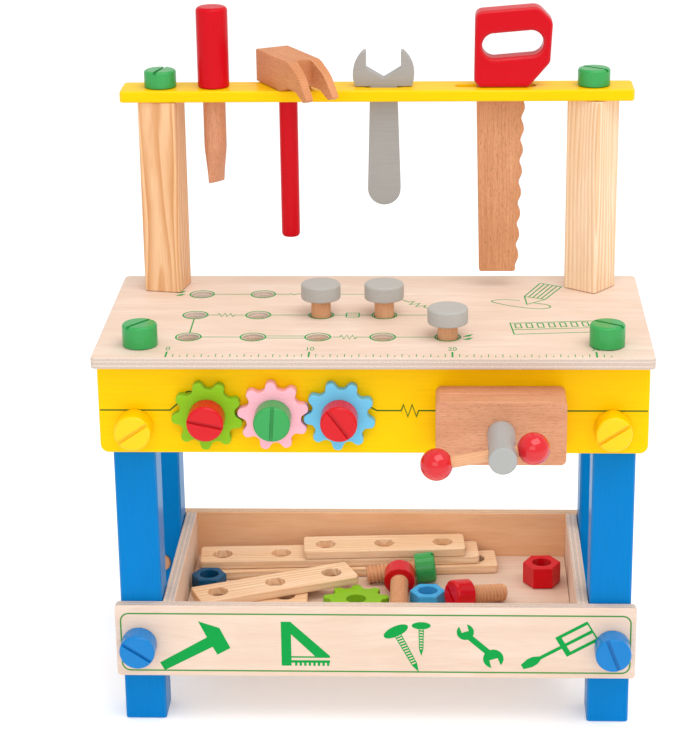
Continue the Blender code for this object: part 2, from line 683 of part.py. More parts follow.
def make_wrench(root):
    """An open-ended wrench. Its head's flat lower edge rests on the rack."""
    half = 0.0046
    centre = 0.0088
    radius = 0.0222
    handle_end = -0.0765
    outline = [(0.0127, 0.0257), (0.0127, 0.0136), (0.0, 0.0060), (-0.0127, 0.0136), (-0.0127, 0.0257)]
    outline += arc(0, centre, radius, 130, 203.4, 9)
    outline += [(-0.0098, 0.0), (-0.0120, handle_end)]
    outline += arc(0, handle_end, 0.0120, 190, 350, 9)
    outline += [(0.0120, handle_end), (0.0098, 0.0)]
    outline += arc(0, centre, radius, -23.4, 50, 9)
    place = at(WRENCH_X, POST_DEPTH + half, RACK_TOP + GAP)
    add_object("wrench", prism(outline, 0, 2 * half), "grey", root, place, FACING_FRONT)


def saw_blade_outline():
    """A slightly tapered blade with a row of soft waves along the right edge."""
    left_top = -0.0178
    left_bottom = -0.0152
    right_top = 0.0176
    right_bottom = 0.0137
    depth = 0.1400
    waves = 8
    swing = 0.0011
    outline = [(left_top, 0.0100), (left_top, -0.0060), (left_bottom, -depth + 0.002)]
    outline += [(left_bottom + 0.002, -depth), (right_bottom - 0.002, -depth)]
    steps = waves * 8
    for i in range(steps + 1):
        share = 1 - i / steps
        z = -0.008 - share * (depth - 0.012)
        edge = right_top + (right_bottom - right_top) * share
        outline.append((edge - swing * (1 + math.cos(2 * math.pi * waves * share)), z))
    outline += [(right_top, -0.0060), (right_top, 0.0100)]
    return outline


def make_saw(root):
    seat = RACK_TOP + GAP
    corners = (
        (-0.0155, 0.0000, 0.0006), (0.0195, 0.0000, 0.0010), (0.0350, 0.0180, 0.0060),
        (0.0366, 0.0475, 0.0080), (0.0262, 0.0584, 0.0100), (-0.0190, 0.0548, 0.0060),
        (-0.0196, 0.0045, 0.0010),
    )
    thickness = 0.018
    shape = prism(rounded_polygon(corners, 5), -thickness / 2, thickness / 2)
    place = at(SAW_X, POST_DEPTH, seat)
    handle = add_object("saw_handle", shape, "red", root, place, FACING_FRONT)
    grip = arc(-0.0050, 0.0300, 0.0090, 90, 270, 8) + arc(0.0210, 0.0322, 0.0090, -90, 90, 8)
    tool = add_cutter("saw_grip", prism(grip, -0.02, 0.02), handle)
    boolean(handle, tool, "DIFFERENCE")
    pocket = prism([(-0.0181, -0.01), (0.0179, -0.01), (0.0179, 0.0103), (-0.0181, 0.0103)],
                   -0.0043, 0.0043)
    boolean(handle, add_cutter("saw_pocket", pocket, handle), "DIFFERENCE")
    add_object("saw_blade", prism(saw_blade_outline(), -0.0040, 0.0040), "beech", root,
               place, FACING_FRONT)


# --- loose pieces in the tray -------------------------------------------------------------------------
def make_loose_pieces(root):
    floor = TRAY_FLOOR_TOP + GAP
    second = floor + STRAP_THICKNESS + GAP
    third = second + STRAP_THICKNESS + GAP
    strap("strap_lowest", 5, root, at(-0.0173, 0.1576, floor), 4.0)
    strap("strap_long", 5, root, at(-0.0315, 0.1605, second), 3.6)
    strap("strap_upper", 3, root, at(0.0032, 0.1625, third), 3.6)
    strap("strap_short", 2, root, at(-0.0928, 0.0940, floor), 1.0)
    strap("strap_slanted", 3, root, at(-0.0780, 0.1036, second), 23.0)

    nut("nut_dark_blue", "blue", 0.0135, 0.0120, root, at(-0.1298, 0.1205, floor))
    nut("nut_light_blue", "sky_blue", 0.0135, 0.0120, root, at(0.0375, 0.0930, floor))
    nut("nut_red", "red", 0.0145, 0.0172, root, at(0.1244, 0.1340, floor), 2.0)
    gear("gear_loose", "lime", 90, root, at(-0.0162, 0.0870, floor))

    head_radius = LOOSE_BOLT[0]
    rows = (
        ("loose_bolt_red", "red", LOOSE_SHANK, 25, 0.0160, 0.1075, 90),
        ("loose_bolt_green", "green", LOOSE_SHANK, 10, 0.0282, 0.1325, 2),
        ("loose_bolt_red_small", "red", SHORT_LOOSE_SHANK, 60, 0.0676, 0.0862, 208),
    )
    for name, colour, shank, slot, x, depth, heading in rows:
        tip = math.asin((head_radius - BOLT_SHANK_RADIUS) / shank)
        lift = floor + head_radius * math.cos(tip) + 0.0001
        turn = (0, math.pi / 2 - tip, math.radians(heading))
        bolt(name, colour, LOOSE_BOLT, shank, slot, root, at(x, depth, lift), turn)


def main():
    for obj in list(bpy.data.objects):
        bpy.data.objects.remove(obj, do_unlink=True)
    root = bpy.data.objects.new("bench", None)
    bpy.context.collection.objects.link(root)
    make_frame(root)
    make_tray(root)
    make_post("post_left", -1, POST_TURN_LEFT, root)
    make_post("post_right", 1, POST_TURN_RIGHT, root)
    make_rack(root)
    make_fixed_bolts(root)
    make_gears(root)
    make_vise(root)
    make_pegs(root)
    make_screwdriver(root)
    make_hammer(root)
    make_wrench(root)
    make_saw(root)
    make_loose_pieces(root)


main()
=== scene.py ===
"""The looks of the wooden toy tool bench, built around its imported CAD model.

Every piece is made again in full detail where its CAD solid lies: boards get
rounded edges and plywood layers, bolts get slots (the loose ones threads as well),
and the boards get their printed lines. Metres, +Z up, the bench faces -Y.
"""

import itertools
import json
import random
from math import asin, atan2, cos, pi, radians, sin, tan, tanh

import bmesh
import bpy
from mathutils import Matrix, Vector
from mathutils.geometry import tessellate_polygon


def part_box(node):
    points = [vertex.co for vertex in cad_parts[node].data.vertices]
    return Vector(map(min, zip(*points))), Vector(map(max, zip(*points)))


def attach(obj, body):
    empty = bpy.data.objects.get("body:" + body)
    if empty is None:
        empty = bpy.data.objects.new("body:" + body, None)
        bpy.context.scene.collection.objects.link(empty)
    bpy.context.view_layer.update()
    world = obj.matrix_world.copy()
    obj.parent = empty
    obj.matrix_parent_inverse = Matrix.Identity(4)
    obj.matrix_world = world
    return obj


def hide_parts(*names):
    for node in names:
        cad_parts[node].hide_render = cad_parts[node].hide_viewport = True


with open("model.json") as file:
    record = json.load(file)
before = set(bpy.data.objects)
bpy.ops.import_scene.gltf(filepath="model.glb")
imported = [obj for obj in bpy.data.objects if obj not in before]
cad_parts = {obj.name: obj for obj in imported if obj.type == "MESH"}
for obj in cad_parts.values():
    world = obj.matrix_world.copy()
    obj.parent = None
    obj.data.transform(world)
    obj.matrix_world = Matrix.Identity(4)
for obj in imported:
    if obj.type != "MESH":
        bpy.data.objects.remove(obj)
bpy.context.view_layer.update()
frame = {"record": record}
BODY_OF = {}
for body, members in frame["record"]["behaviour"]["bodies"].items():
    for member in members:
        BODY_OF[member] = body

# --- sizes that the CAD boxes don't tell
GAP = 0.0003
FACING_FRONT = (pi / 2, 0, 0)     # local Z points to -Y, local Y up
FACING_BACK = (-pi / 2, 0, 0)
FACING_RIGHT = (pi / 2, 0, pi / 2)
UPRIGHT = (0, 0, 0)

HOLE_RADIUS = 0.0075
HOLE_PITCH = 0.04555
HOLE_FIRST_X = -0.1302
HOLE_ROWS = ((0.046, 5), (0.0955, 5), (0.145, 4))   # depth of the row, holes in it
BOLT_HOLE_RADIUS = 0.0072
GEAR_HOLE_RADIUS = 0.0074
GEAR_THICKNESS = 0.0075
SHANK_RADIUS = 0.0068

BOARD_BOLT = (0.0128, 0.0165)    # head radius and height
CORNER_BOLT = (0.0123, 0.0160)
RACK_BOLT = (0.0117, 0.0125)
LOOSE_BOLT = (0.0116, 0.0150)

SCREW_HOLE_RADIUS = 0.0083
SCREW_RADIUS = 0.0095
PIN_RADIUS = 0.0040               # the front jaw's guide pins
PIN_HOLE_RADIUS = 0.0043
PIN_OFFSET = 0.031                # from the screw's axis
BAR_RADIUS = 0.0040
BALL_RADIUS = 0.011
POST_WIDTH = 0.028
STRAP_PITCH = 0.0455
STRAP_END = 0.017                 # from the last hole to the strap's end
STRAP_WIDTH = 0.030

POST_TURN = {"left": radians(-11), "right": radians(-37)}
BAR_TILT = radians(10.2)
DRIVER_TURN = radians(48)
HAMMER_TURN = radians(-61.6)


# --- shader nodes
GRAIN_TURNS = {"X": (0, 0, 0), "Y": (0, 0, pi / 2), "Z": (0, pi / 2, 0)}


class Nodes:
    """Adds nodes to one new material and links them."""

    def __init__(self, name):
        self.material = bpy.data.materials.new(name)
        self.material.use_nodes = True
        self.tree = self.material.node_tree
        self.shader = self.tree.nodes["Principled BSDF"]
        self.seed = random.Random(name)

    def put(self, socket, value):
        if isinstance(value, bpy.types.NodeSocket):
            self.tree.links.new(value, socket)
        else:
            socket.default_value = value

    def add(self, kind, inputs, **settings):
        node = self.tree.nodes.new("ShaderNode" + kind)
        for name, value in settings.items():
            setattr(node, name, value)
        for socket, value in inputs.items():
            self.put(node.inputs[socket], value)
        return node

    def math(self, operation, first, second=0.0):
        return self.add("Math", {0: first, 1: second}, operation=operation).outputs[0]

    def spread(self, value, low, high, to_low=0.0, to_high=1.0):
        """Maps low..high softly to to_low..to_high."""
        inputs = {"Value": value, "From Min": low, "From Max": high, "To Min": to_low, "To Max": to_high}
        return self.add("MapRange", inputs, interpolation_type="SMOOTHSTEP").outputs[0]

    def mix(self, share, first, second, blend="MIX"):
        inputs = {"Fac": share, "Color1": first, "Color2": second}
        return self.add("MixRGB", inputs, blend_type=blend).outputs[0]

    def surface(self, values):
        """Sets the shader's inputs to plain values or to other nodes' outputs."""
        for socket, value in values.items():
            self.put(self.shader.inputs[socket], value)

    def own(self, kind="Object"):
        """The piece's own coordinates, or with "Normal" its surface direction."""
        return self.tree.nodes.new("ShaderNodeTexCoord").outputs[kind]

    def along_grain(self, along, shift):
        """The piece's own coordinates, turned so that X runs along the grain, and shifted."""
        inputs = {"Vector": self.own(), "Rotation": GRAIN_TURNS[along], "Location": shift}
        return self.add("Mapping", inputs).outputs[0]

    def coordinates(self, along):
        """Coordinates along the grain, at a place in the noise that is the piece's own."""
        return self.along_grain(along, [self.seed.uniform(-1, 1) for _ in range(3)])

    def scaled(self, vector, factors):
        return self.add("VectorMath", {0: vector, 1: factors}, operation="MULTIPLY").outputs[0]

    def streaks(self, vector, along, across, detail=2.0):
        """Noise whose features are `along` long and `across` wide, in metres."""
        drawn = self.scaled(vector, (1 / along, 1 / across, 1 / across))
        return self.add("TexNoise", {"Vector": drawn, "Scale": 1.0, "Detail": detail}).outputs[0]

    def bump(self, height, distance, strength):
        return self.add("Bump", {"Height": height, "Distance": distance, "Strength": strength}).outputs[0]

    def own_normal(self):
        """The three sizes of the surface direction in the piece's own axes."""
        size = self.add("VectorMath", {0: self.own("Normal")}, operation="ABSOLUTE").outputs[0]
        return self.add("SeparateXYZ", {0: size}).outputs

    def corner_share(self):
        """1 on rounded edges, 0 on the flat faces of a squared piece."""
        x, y, z = self.own_normal()
        largest = self.math("MAXIMUM", self.math("MAXIMUM", x, y), z)
        return self.spread(largest, 0.995, 0.85)


def rgba(colour, factor=1.0):
    return (colour[0] * factor, colour[1] * factor, colour[2] * factor, 1.0)


# --- woods
WOOD_SPECULAR = 0.20
WOOD_RELIEF = 0.00012


def wood(name, light, dark, along="X", *, ring, contrast, pith=0.03, fleck=0.0, layers=0.0,
         middle=0.0, patchy=0.26):
    """Sawn wood. Growth rings, `ring` wide, lie round a pith that is about `pith` away from
    the piece's middle, so that faces show long lines and ends show arcs. `layers` is the ply
    thickness of a plywood whose edges show their layers, counted from `middle`."""
    nodes = Nodes(name)
    place = nodes.coordinates(along)
    drift = nodes.streaks(place, 0.16, 0.020, 1.0)
    away = nodes.seed.uniform(0.55, 1.05)
    core = (0, pith * away, pith * nodes.seed.uniform(-0.6, 0.9))
    across = nodes.scaled(nodes.along_grain(along, core), (0.0, 1.0, 1.0))
    radius = nodes.add("VectorMath", {0: across}, operation="LENGTH").outputs["Value"]
    wander = nodes.math("MULTIPLY", nodes.math("SUBTRACT", drift, 0.5), ring * 4)
    rings = nodes.math("FRACT", nodes.math("DIVIDE", nodes.math("ADD", radius, wander), ring))
    line = nodes.math("MULTIPLY", nodes.spread(rings, 0.15, 0.86), nodes.spread(rings, 1.0, 0.90))
    patches = nodes.streaks(place, 0.20, 0.012, 2.0)
    amount = nodes.math("MULTIPLY", line, nodes.spread(patches, 0.25, 0.75, contrast * 0.4, contrast))
    colour = nodes.mix(amount, rgba(light), rgba(dark))
    fibres = nodes.streaks(place, 0.018, 0.00035, 3.0)
    tone = nodes.streaks(place, 0.10, 0.016, 2.0)
    cloud = nodes.streaks(place, 0.07, 0.045, 2.0)
    colour = nodes.mix(nodes.spread(fibres, 0.30, 0.75, 0.0, 0.34), colour, rgba(dark), "MULTIPLY")
    colour = nodes.mix(nodes.spread(tone, 0.3, 0.7, 0.0, 0.22), colour, rgba(dark), "MULTIPLY")
    colour = nodes.mix(nodes.spread(cloud, 0.40, 0.62, 0.0, patchy), colour, rgba(dark))
    if fleck:
        dashes = nodes.streaks(place, 0.0036, 0.00034, 1.0)
        share = nodes.spread(dashes, 0.56, 0.70, 0.0, fleck)
        colour = nodes.mix(share, colour, rgba(dark, 0.55))
    if layers:
        colour = layered_edge(nodes, colour, light, dark, layers, middle)
    height = nodes.math("ADD", nodes.math("MULTIPLY", fibres, 0.6), nodes.math("MULTIPLY", line, -0.4))
    nodes.surface({
        "Base Color": colour,
        "Roughness": nodes.spread(fibres, 0.2, 0.8, 0.45, 0.60),
        "Specular IOR Level": WOOD_SPECULAR,
        "Normal": nodes.bump(height, WOOD_RELIEF, 0.38),
    })
    return nodes.material


def layered_edge(nodes, colour, light, dark, ply, middle):
    """Turns the colour into stacked plies where the surface looks sideways."""
    own = nodes.own()
    level = nodes.add("SeparateXYZ", {0: own}).outputs[2]
    count = nodes.math("DIVIDE", nodes.math("SUBTRACT", level, middle), ply * 2)
    phase = nodes.math("ABSOLUTE", nodes.math("SUBTRACT", nodes.math("FRACT", count), 0.5))
    cross_ply = nodes.spread(phase, 0.22, 0.28)
    glue = nodes.spread(nodes.math("ABSOLUTE", nodes.math("SUBTRACT", phase, 0.25)), 0.045, 0.015)
    speckle = nodes.streaks(own, 0.0012, 0.0006, 2.0)
    grey = [channel * 0.60 + 0.13 for channel in light]
    edge = nodes.mix(cross_ply, rgba(light, 0.86), rgba(grey, 0.92))
    edge = nodes.mix(nodes.spread(speckle, 0.40, 0.75, 0.0, 0.55), edge, rgba(dark), "MULTIPLY")
    edge = nodes.mix(nodes.math("MULTIPLY", glue, 0.55), edge, rgba(dark, 0.50))
    facing = nodes.own_normal()[2]
    return nodes.mix(nodes.spread(facing, 0.80, 0.55), colour, edge)


BIRCH = ((0.83, 0.680, 0.575), (0.71, 0.525, 0.40))            # light wood, darker lines
WARM_BIRCH = ((0.90, 0.60, 0.370), (0.74, 0.42, 0.22))
PINE = ((0.92, 0.64, 0.385), (0.66, 0.32, 0.12))
PALE_PINE = ((0.95, 0.76, 0.56), (0.78, 0.49, 0.26))
BEECH = ((0.74, 0.375, 0.220), (0.55, 0.25, 0.12))
DARK_BEECH = ((0.72, 0.325, 0.145), (0.52, 0.20, 0.075))
PALE_BEECH = ((0.74, 0.380, 0.195), (0.52, 0.22, 0.09))
DOWEL = ((0.78, 0.45, 0.255), (0.60, 0.30, 0.14))


def plywood(node, ply, middle=0.0, tones=BIRCH):
    return wood(node + "_plywood", *tones, ring=0.0100, contrast=0.26, pith=0.060, layers=ply,
                middle=middle, patchy=0.45)


def pine(node, along="X", tones=PINE):
    return wood(node + "_pine", *tones, along, ring=0.0034, contrast=0.95, pith=0.034)


def beech(node, along="X", tones=BEECH):
    return wood(node + "_beech", *tones, along, ring=0.0018, contrast=0.32, fleck=0.60)


def dowel(name):
    return wood(name, *DOWEL, "Z", ring=0.0016, contrast=0.40, pith=0.010, fleck=0.25)


# --- paints
PAINTS = {
    "yellow": (0.93, 0.560, 0.0002),
    "blue": (0.0002, 0.190, 0.530),
    "sky_blue": (0.155, 0.520, 0.760),
    "middle_blue": (0.048, 0.390, 0.780),
    "green": (0.038, 0.340, 0.083),
    "lime": (0.240, 0.510, 0.016),
    "pink": (0.960, 0.470, 0.560),
    "red": (0.620, 0.004, 0.010),
    "deep_red": (0.570, 0.003, 0.010),
    "grey": (0.420, 0.400, 0.370),
    "steel": (0.360, 0.342, 0.322),
    "silver": (0.385, 0.385, 0.375),
    "navy": (0.004, 0.080, 0.190),
}


PAINT_SPECULAR = 0.05
COAT_ROUGHNESS = 0.10
PAINT_RELIEF = 0.00010


def paint(node, key, along="X", roughness=0.34, coat=0.04, squared=True):
    """Lacquer on wood: the grain shows faintly through it, and squared pieces get a painted
    highlight: their rounded edges are painted paler, in patches."""
    nodes = Nodes(node + "_paint")
    colour = PAINTS[key]
    place = nodes.coordinates(along)
    grain = nodes.streaks(place, 0.030, 0.0011, 3.0)
    cloud = nodes.streaks(place, 0.060, 0.030, 2.0)
    peel = nodes.streaks(place, 0.0013, 0.0013, 1.0)
    # painted highlight: a paler copy of the paint colour for the rounded edges
    edge_highlight_colour = [channel * 0.90 + 0.05 for channel in colour]
    tint = nodes.mix(nodes.spread(cloud, 0.30, 0.72, 0.0, 0.10), rgba(colour), rgba(colour, 1.3))
    tint = nodes.mix(nodes.spread(grain, 0.35, 0.75, 0.0, 0.16), tint, rgba(colour, 0.62))
    if squared:
        # painted highlight: the rounded edges turn paler in cloudy patches
        edge_highlight_share = nodes.math("MULTIPLY", nodes.corner_share(), nodes.spread(cloud, 0.35, 0.65, 0.15, 0.55))
        tint = nodes.mix(edge_highlight_share, tint, rgba(edge_highlight_colour))
    height = nodes.math("ADD", nodes.math("MULTIPLY", grain, 0.7), nodes.math("MULTIPLY", peel, 0.25))
    nodes.surface({
        "Base Color": tint,
        "Roughness": nodes.spread(grain, 0.2, 0.8, roughness - 0.05, roughness + 0.07),
        "Specular IOR Level": PAINT_SPECULAR,
        "Coat Weight": coat,
        "Coat Roughness": COAT_ROUGHNESS,
        "Normal": nodes.bump(height, PAINT_RELIEF, 0.5),
    })
    return nodes.material


def ink(name, colour):
    """Printing ink that lets a little of the wood's unevenness show."""
    nodes = Nodes(name)
    speckle = nodes.streaks(nodes.coordinates("X"), 0.0018, 0.0007, 2.0)
    tint = nodes.mix(nodes.spread(speckle, 0.45, 0.8, 0.0, 0.30), rgba(colour), rgba(colour, 1.5))
    nodes.surface({"Base Color": tint, "Roughness": 0.55, "Specular IOR Level": 0.10})
    return nodes.material


# --- outlines
def arc(cx, cy, radius, start, end, steps):
    """Points on an arc, angles in degrees, both ends included."""
    points = []
    for i in range(steps + 1):
        a = radians(start + (end - start) * i / steps)
        points.append((cx + radius * cos(a), cy + radius * sin(a)))
    return points


def circle(cx, cy, radius, steps=40):
    return arc(cx, cy, radius, 0, 360 - 360 / steps, steps - 1)


def rounded_rectangle(width, height, radius, cx=0.0, cy=0.0, steps=7):
    w = width / 2 - radius
    h = height / 2 - radius
    outline = []
    for x, y, start in ((w, h, 0), (-w, h, 90), (-w, -h, 180), (w, -h, 270)):
        outline += arc(cx + x, cy + y, radius, start, start + 90, steps)
    return outline


def rounded_polygon(corners, steps=8):
    """An outline from (x, y, radius) corners, each rounded by its own radius."""
    outline = []
    count = len(corners)
    for i, (x, y, radius) in enumerate(corners):
        px, py, _ = corners[i - 1]
        nx, ny, _ = corners[(i + 1) % count]
        back = atan2(py - y, px - x)
        ahead = atan2(ny - y, nx - x)
        opening = (ahead - back + pi) % (2 * pi) - pi
        reach = radius / tan(abs(opening) / 2)
        start = (x + reach * cos(back), y + reach * sin(back))
        end = (x + reach * cos(ahead), y + reach * sin(ahead))
        for k in range(steps + 1):
            t = k / steps
            a = (1 - t) ** 2
            b = 2 * t * (1 - t)
            c = t ** 2
            outline.append((a * start[0] + b * x + c * end[0], a * start[1] + b * y + c * end[1]))
    return outline


def placed(points, x, y, degrees=0):
    """Points turned round the origin and then moved."""
    a = radians(degrees)
    return [(px * cos(a) - py * sin(a) + x, px * sin(a) + py * cos(a) + y) for px, py in points]


def signed_area(points):
    return sum(points[i - 1][0] * y - x * points[i - 1][1] for i, (x, y) in enumerate(points)) / 2


def shifted(points, distance):
    """A closed outline moved to its left side by a distance, corner by corner."""
    result = []
    count = len(points)
    for i, (x, y) in enumerate(points):
        before = Vector((x - points[i - 1][0], y - points[i - 1][1])).normalized()
        after = Vector((points[(i + 1) % count][0] - x, points[(i + 1) % count][1] - y)).normalized()
        left = Vector((-after.y, after.x))
        middle = Vector((-before.y - after.y, before.x + after.x)).normalized()
        reach = distance / max(0.4, middle.dot(left))
        result.append((x + middle.x * reach, y + middle.y * reach))
    return result


# --- mesh building
def add_loop(bm, points):
    return [bm.verts.new(point) for point in points]


def bridge(bm, lower, upper):
    """Joins two rings of the same number of vertices with quads."""
    count = len(lower)
    for i in range(count):
        j = (i + 1) % count
        bm.faces.new((lower[i], lower[j], upper[j], upper[i]))


def stack(rows):
    """A closed shape through rows of points, all with the same number of points."""
    bm = bmesh.new()
    rings = [add_loop(bm, points) for points in rows]
    for lower, upper in zip(rings, rings[1:]):
        bridge(bm, lower, upper)
    bm.faces.new(rings[0])
    bm.faces.new(rings[-1])
    return bm


def plate(outline, holes, low, high, edge, hole_edge=0.0005, steps=4, bm=None):
    """A flat piece in local XY with rounded rims, cut through by the hole outlines."""
    bm = bm or bmesh.new()
    outer = outline if signed_area(outline) > 0 else outline[::-1]
    inner = [hole if signed_area(hole) < 0 else hole[::-1] for hole in holes]
    bottoms = []
    tops = []
    for loop, rim in [(outer, edge)] + [(hole, hole_edge) for hole in inner]:
        levels = []
        for k in range(steps + 1):
            a = pi / 2 * k / steps
            levels.append((rim * (1 - sin(a)), rim * (1 - cos(a))))
        if rim == 0:
            levels = [(0, 0)]
        rings = [add_loop(bm, [(x, y, low + z) for x, y in shifted(loop, inset)]) for inset, z in levels]
        rings += [add_loop(bm, [(x, y, high - z) for x, y in shifted(loop, inset)])
                  for inset, z in reversed(levels)]
        for lower, upper in zip(rings, rings[1:]):
            bridge(bm, lower, upper)
        bottoms.append(rings[0])
        tops.append(rings[-1])
    for caps in (bottoms, tops):
        verts = [vert for ring in caps for vert in ring]
        for triple in tessellate_polygon([[vert.co.copy() for vert in ring] for ring in caps]):
            bm.faces.new([verts[i] for i in triple])
    return bm


def lathe(profile, segments=64):
    """A turned piece round local Z. The profile lists (radius, z) upwards; radius 0 is a point."""
    bm = bmesh.new()
    rings = []
    for radius, z in profile:
        if radius == 0:
            rings.append([bm.verts.new((0, 0, z))])
            continue
        angles = [2 * pi * i / segments for i in range(segments)]
        rings.append(add_loop(bm, [(radius * cos(a), radius * sin(a), z) for a in angles]))
    for lower, upper in zip(rings, rings[1:]):
        if len(lower) == len(upper):
            bridge(bm, lower, upper)
            continue
        point, ring = (lower[0], upper) if len(lower) == 1 else (upper[0], lower)
        for i, vert in enumerate(ring):
            bm.faces.new((vert, ring[(i + 1) % segments], point))
    for ring in (rings[0], rings[-1]):
        if len(ring) > 1:
            bm.faces.new(ring)
    return bm


def round_over(radius, z, size, upwards=True, steps=4):
    """Profile points of a rounded rim that ends at (radius, z)."""
    points = []
    for k in range(steps + 1):
        a = pi / 2 * k / steps
        out = radius - size * (1 - cos(a))
        points.append((out, z - size * (1 - sin(a)) if upwards else z + size * (1 - sin(a))))
    return points if upwards else points[::-1]


def new_object(name, data):
    obj = bpy.data.objects.new(name, data)
    bpy.context.collection.objects.link(obj)
    return obj


def make_piece(name, bm, materials, location=(0, 0, 0), rotation=UPRIGHT):
    bmesh.ops.recalc_face_normals(bm, faces=bm.faces)
    mesh = bpy.data.meshes.new(name)
    bm.to_mesh(mesh)
    bm.free()
    for material in materials:
        mesh.materials.append(material)
    obj = new_object(name, mesh)
    obj.location = location
    obj.rotation_euler = rotation
    return obj


def final_mesh(obj):
    """A new mesh that shows the object as its modifiers leave it."""
    bpy.context.view_layer.update()
    shown = obj.evaluated_get(bpy.context.evaluated_depsgraph_get())
    return bpy.data.meshes.new_from_object(shown)


def combine(obj, bm, operation="DIFFERENCE", location=(0, 0, 0), rotation=UPRIGHT):
    """Cuts a closed shape, given in the piece's own axes, out of the piece, or adds it."""
    tool = make_piece("tool", bm, list(obj.data.materials))
    tool.parent = obj
    tool.location = location
    tool.rotation_euler = rotation
    modifier = obj.modifiers.new("combine", "BOOLEAN")
    modifier.operation = operation
    modifier.solver = "EXACT"
    modifier.object = tool
    result = final_mesh(obj)
    obj.modifiers.clear()
    old = obj.data
    obj.data = result
    bpy.data.meshes.remove(old)
    bpy.data.objects.remove(tool)


def rod(radius, low, high, segments=40):
    return lathe(((radius, low), (radius, high)), segments)


def finish_surface(obj, sharp=42):
    """Smooth shading that stays flat on faces and sharp at real corners."""
    obj.data.shade_smooth()
    obj.data.set_sharp_from_angle(angle=radians(sharp))
    modifier = obj.modifiers.new("flat_faces", "WEIGHTED_NORMAL")
    modifier.keep_sharp = True
    modifier.weight = 60


def settle(obj, node):
    """Puts a finished piece where its CAD solid is, and lets it stand for that solid."""
    bpy.context.view_layer.update()
    corners = [obj.matrix_world @ vert.co for vert in obj.data.vertices]
    low = Vector([min(corner[i] for corner in corners) for i in range(3)])
    high = Vector([max(corner[i] for corner in corners) for i in range(3)])
    solid_low, solid_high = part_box(node)
    obj.location += (solid_low + solid_high) / 2 - (low + high) / 2
    finish_surface(obj)
    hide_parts(node)
    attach(obj, BODY_OF[node])


def detailed(node, shape, *materials, rotation=UPRIGHT):
    """The detailed piece that will stand for a CAD solid."""
    return make_piece(node + "_fine", shape, materials, rotation=rotation)


def size(node):
    low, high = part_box(node)
    return high - low


def centre(node):
    low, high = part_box(node)
    return (low + high) / 2


# --- the bench
def make_tabletop():
    extent = size("tabletop")
    middle = centre("tabletop")
    holes = []
    for depth, count in HOLE_ROWS:
        for i in range(count):
            holes.append(circle(HOLE_FIRST_X + i * HOLE_PITCH, depth - extent.y / 2, HOLE_RADIUS))
    for side in ("left", "right"):
        bolt_place = centre("corner_bolt_" + side) - middle
        post_place = centre("post_" + side) - middle
        holes.append(circle(bolt_place.x, bolt_place.y, BOLT_HOLE_RADIUS))
        holes.append(circle(post_place.x, post_place.y, BOLT_HOLE_RADIUS))
    outline = rounded_rectangle(extent.x, extent.y, 0.004)
    shape = plate(outline, holes, -extent.z, 0, 0.0011, 0.0006)
    material = plywood("tabletop", extent.z / 5, -extent.z * 0.9)
    settle(detailed("tabletop", shape, material), "tabletop")


def make_leg(end, side):
    node = "leg_%s_%s" % (end, side)
    extent = size(node)
    shape = plate(rounded_rectangle(extent.x, extent.y, 0.0022), [], 0, extent.z, 0.0010)
    leg = detailed(node, shape, paint(node, "blue", "Z", 0.30))
    middle = centre(node)
    bolts = ["tray_bolt_%s_%s" % (end, side)]
    if end == "front":
        bolts.append("apron_bolt_" + side)
        corner = centre("corner_bolt_" + side) - middle
        combine(leg, rod(BOLT_HOLE_RADIUS, -0.030, 0.010), location=(corner.x, corner.y, extent.z))
    for bolt_node in bolts:
        place = centre(bolt_node)
        bore = rod(BOLT_HOLE_RADIUS, -0.03, 0.03)
        combine(leg, bore, location=(place.x - middle.x, 0, place.z), rotation=FACING_FRONT)
    settle(leg, node)


def upright_board(node, material, corner, edge, bores):
    """A board that faces the front. bores lists (node on the hole's axis, radius, X offset)."""
    extent = size(node)
    middle = centre(node)
    holes = []
    for axis_node, radius, offset in bores:
        place = centre(axis_node) - middle
        holes.append(circle(place.x + offset, place.z, radius))
    shape = plate(rounded_rectangle(extent.x, extent.z, corner), holes, 0, extent.y, edge)
    settle(detailed(node, shape, material, rotation=FACING_FRONT), node)


def make_aprons():
    bores = [("apron_bolt_" + side, BOLT_HOLE_RADIUS, 0) for side in ("left", "right")]
    bores += [("gear_bolt_" + colour, BOLT_HOLE_RADIUS, 0) for colour in ("green", "pink", "blue")]
    bores += [("vise_screw", SCREW_HOLE_RADIUS, 0)]
    bores += [("vise_screw", PIN_HOLE_RADIUS, offset) for offset in (-PIN_OFFSET, PIN_OFFSET)]
    for node, holes in (("front_apron", bores), ("back_apron", [])):
        upright_board(node, paint(node, "yellow"), 0.006, 0.0011, holes)


def make_tray():
    for node, bolt_end, tones in (("tray_front", "front", BIRCH), ("tray_back", "rear", WARM_BIRCH)):
        bores = [("tray_bolt_%s_%s" % (bolt_end, side), BOLT_HOLE_RADIUS, 0) for side in ("left", "right")]
        upright_board(node, plywood(node, 0.0016, tones=tones), 0.003, 0.0009, bores)
    for node in ("tray_left", "tray_right"):
        extent = size(node)
        shape = plate(rounded_rectangle(extent.y, extent.z, 0.0012), [], 0, extent.x, 0.0008)
        settle(detailed(node, shape, plywood(node, 0.0017), rotation=FACING_RIGHT), node)
    extent = size("tray_floor")
    shape = plate(rounded_rectangle(extent.x, extent.y, 0.0006), [], 0, extent.z, 0.0004)
    settle(detailed("tray_floor", shape, plywood("tray_floor", 0.0012)), "tray_floor")


def make_posts():
    for side, turn in POST_TURN.items():
        node = "post_" + side
        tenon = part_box("tabletop")[1].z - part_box(node)[0].z + GAP
        height = size(node).z - tenon
        shape = plate(rounded_rectangle(POST_WIDTH, POST_WIDTH, 0.0020), [], 0, height, 0.0008)
        tones = PINE if side == "left" else PALE_PINE
        post = detailed(node, shape, pine(node, "Z", tones), rotation=(0, 0, turn))
        combine(post, rod(SHANK_RADIUS, -tenon, 0.005), "UNION")
        combine(post, rod(BOLT_HOLE_RADIUS, height - 0.032, height + 0.01))
        settle(post, node)


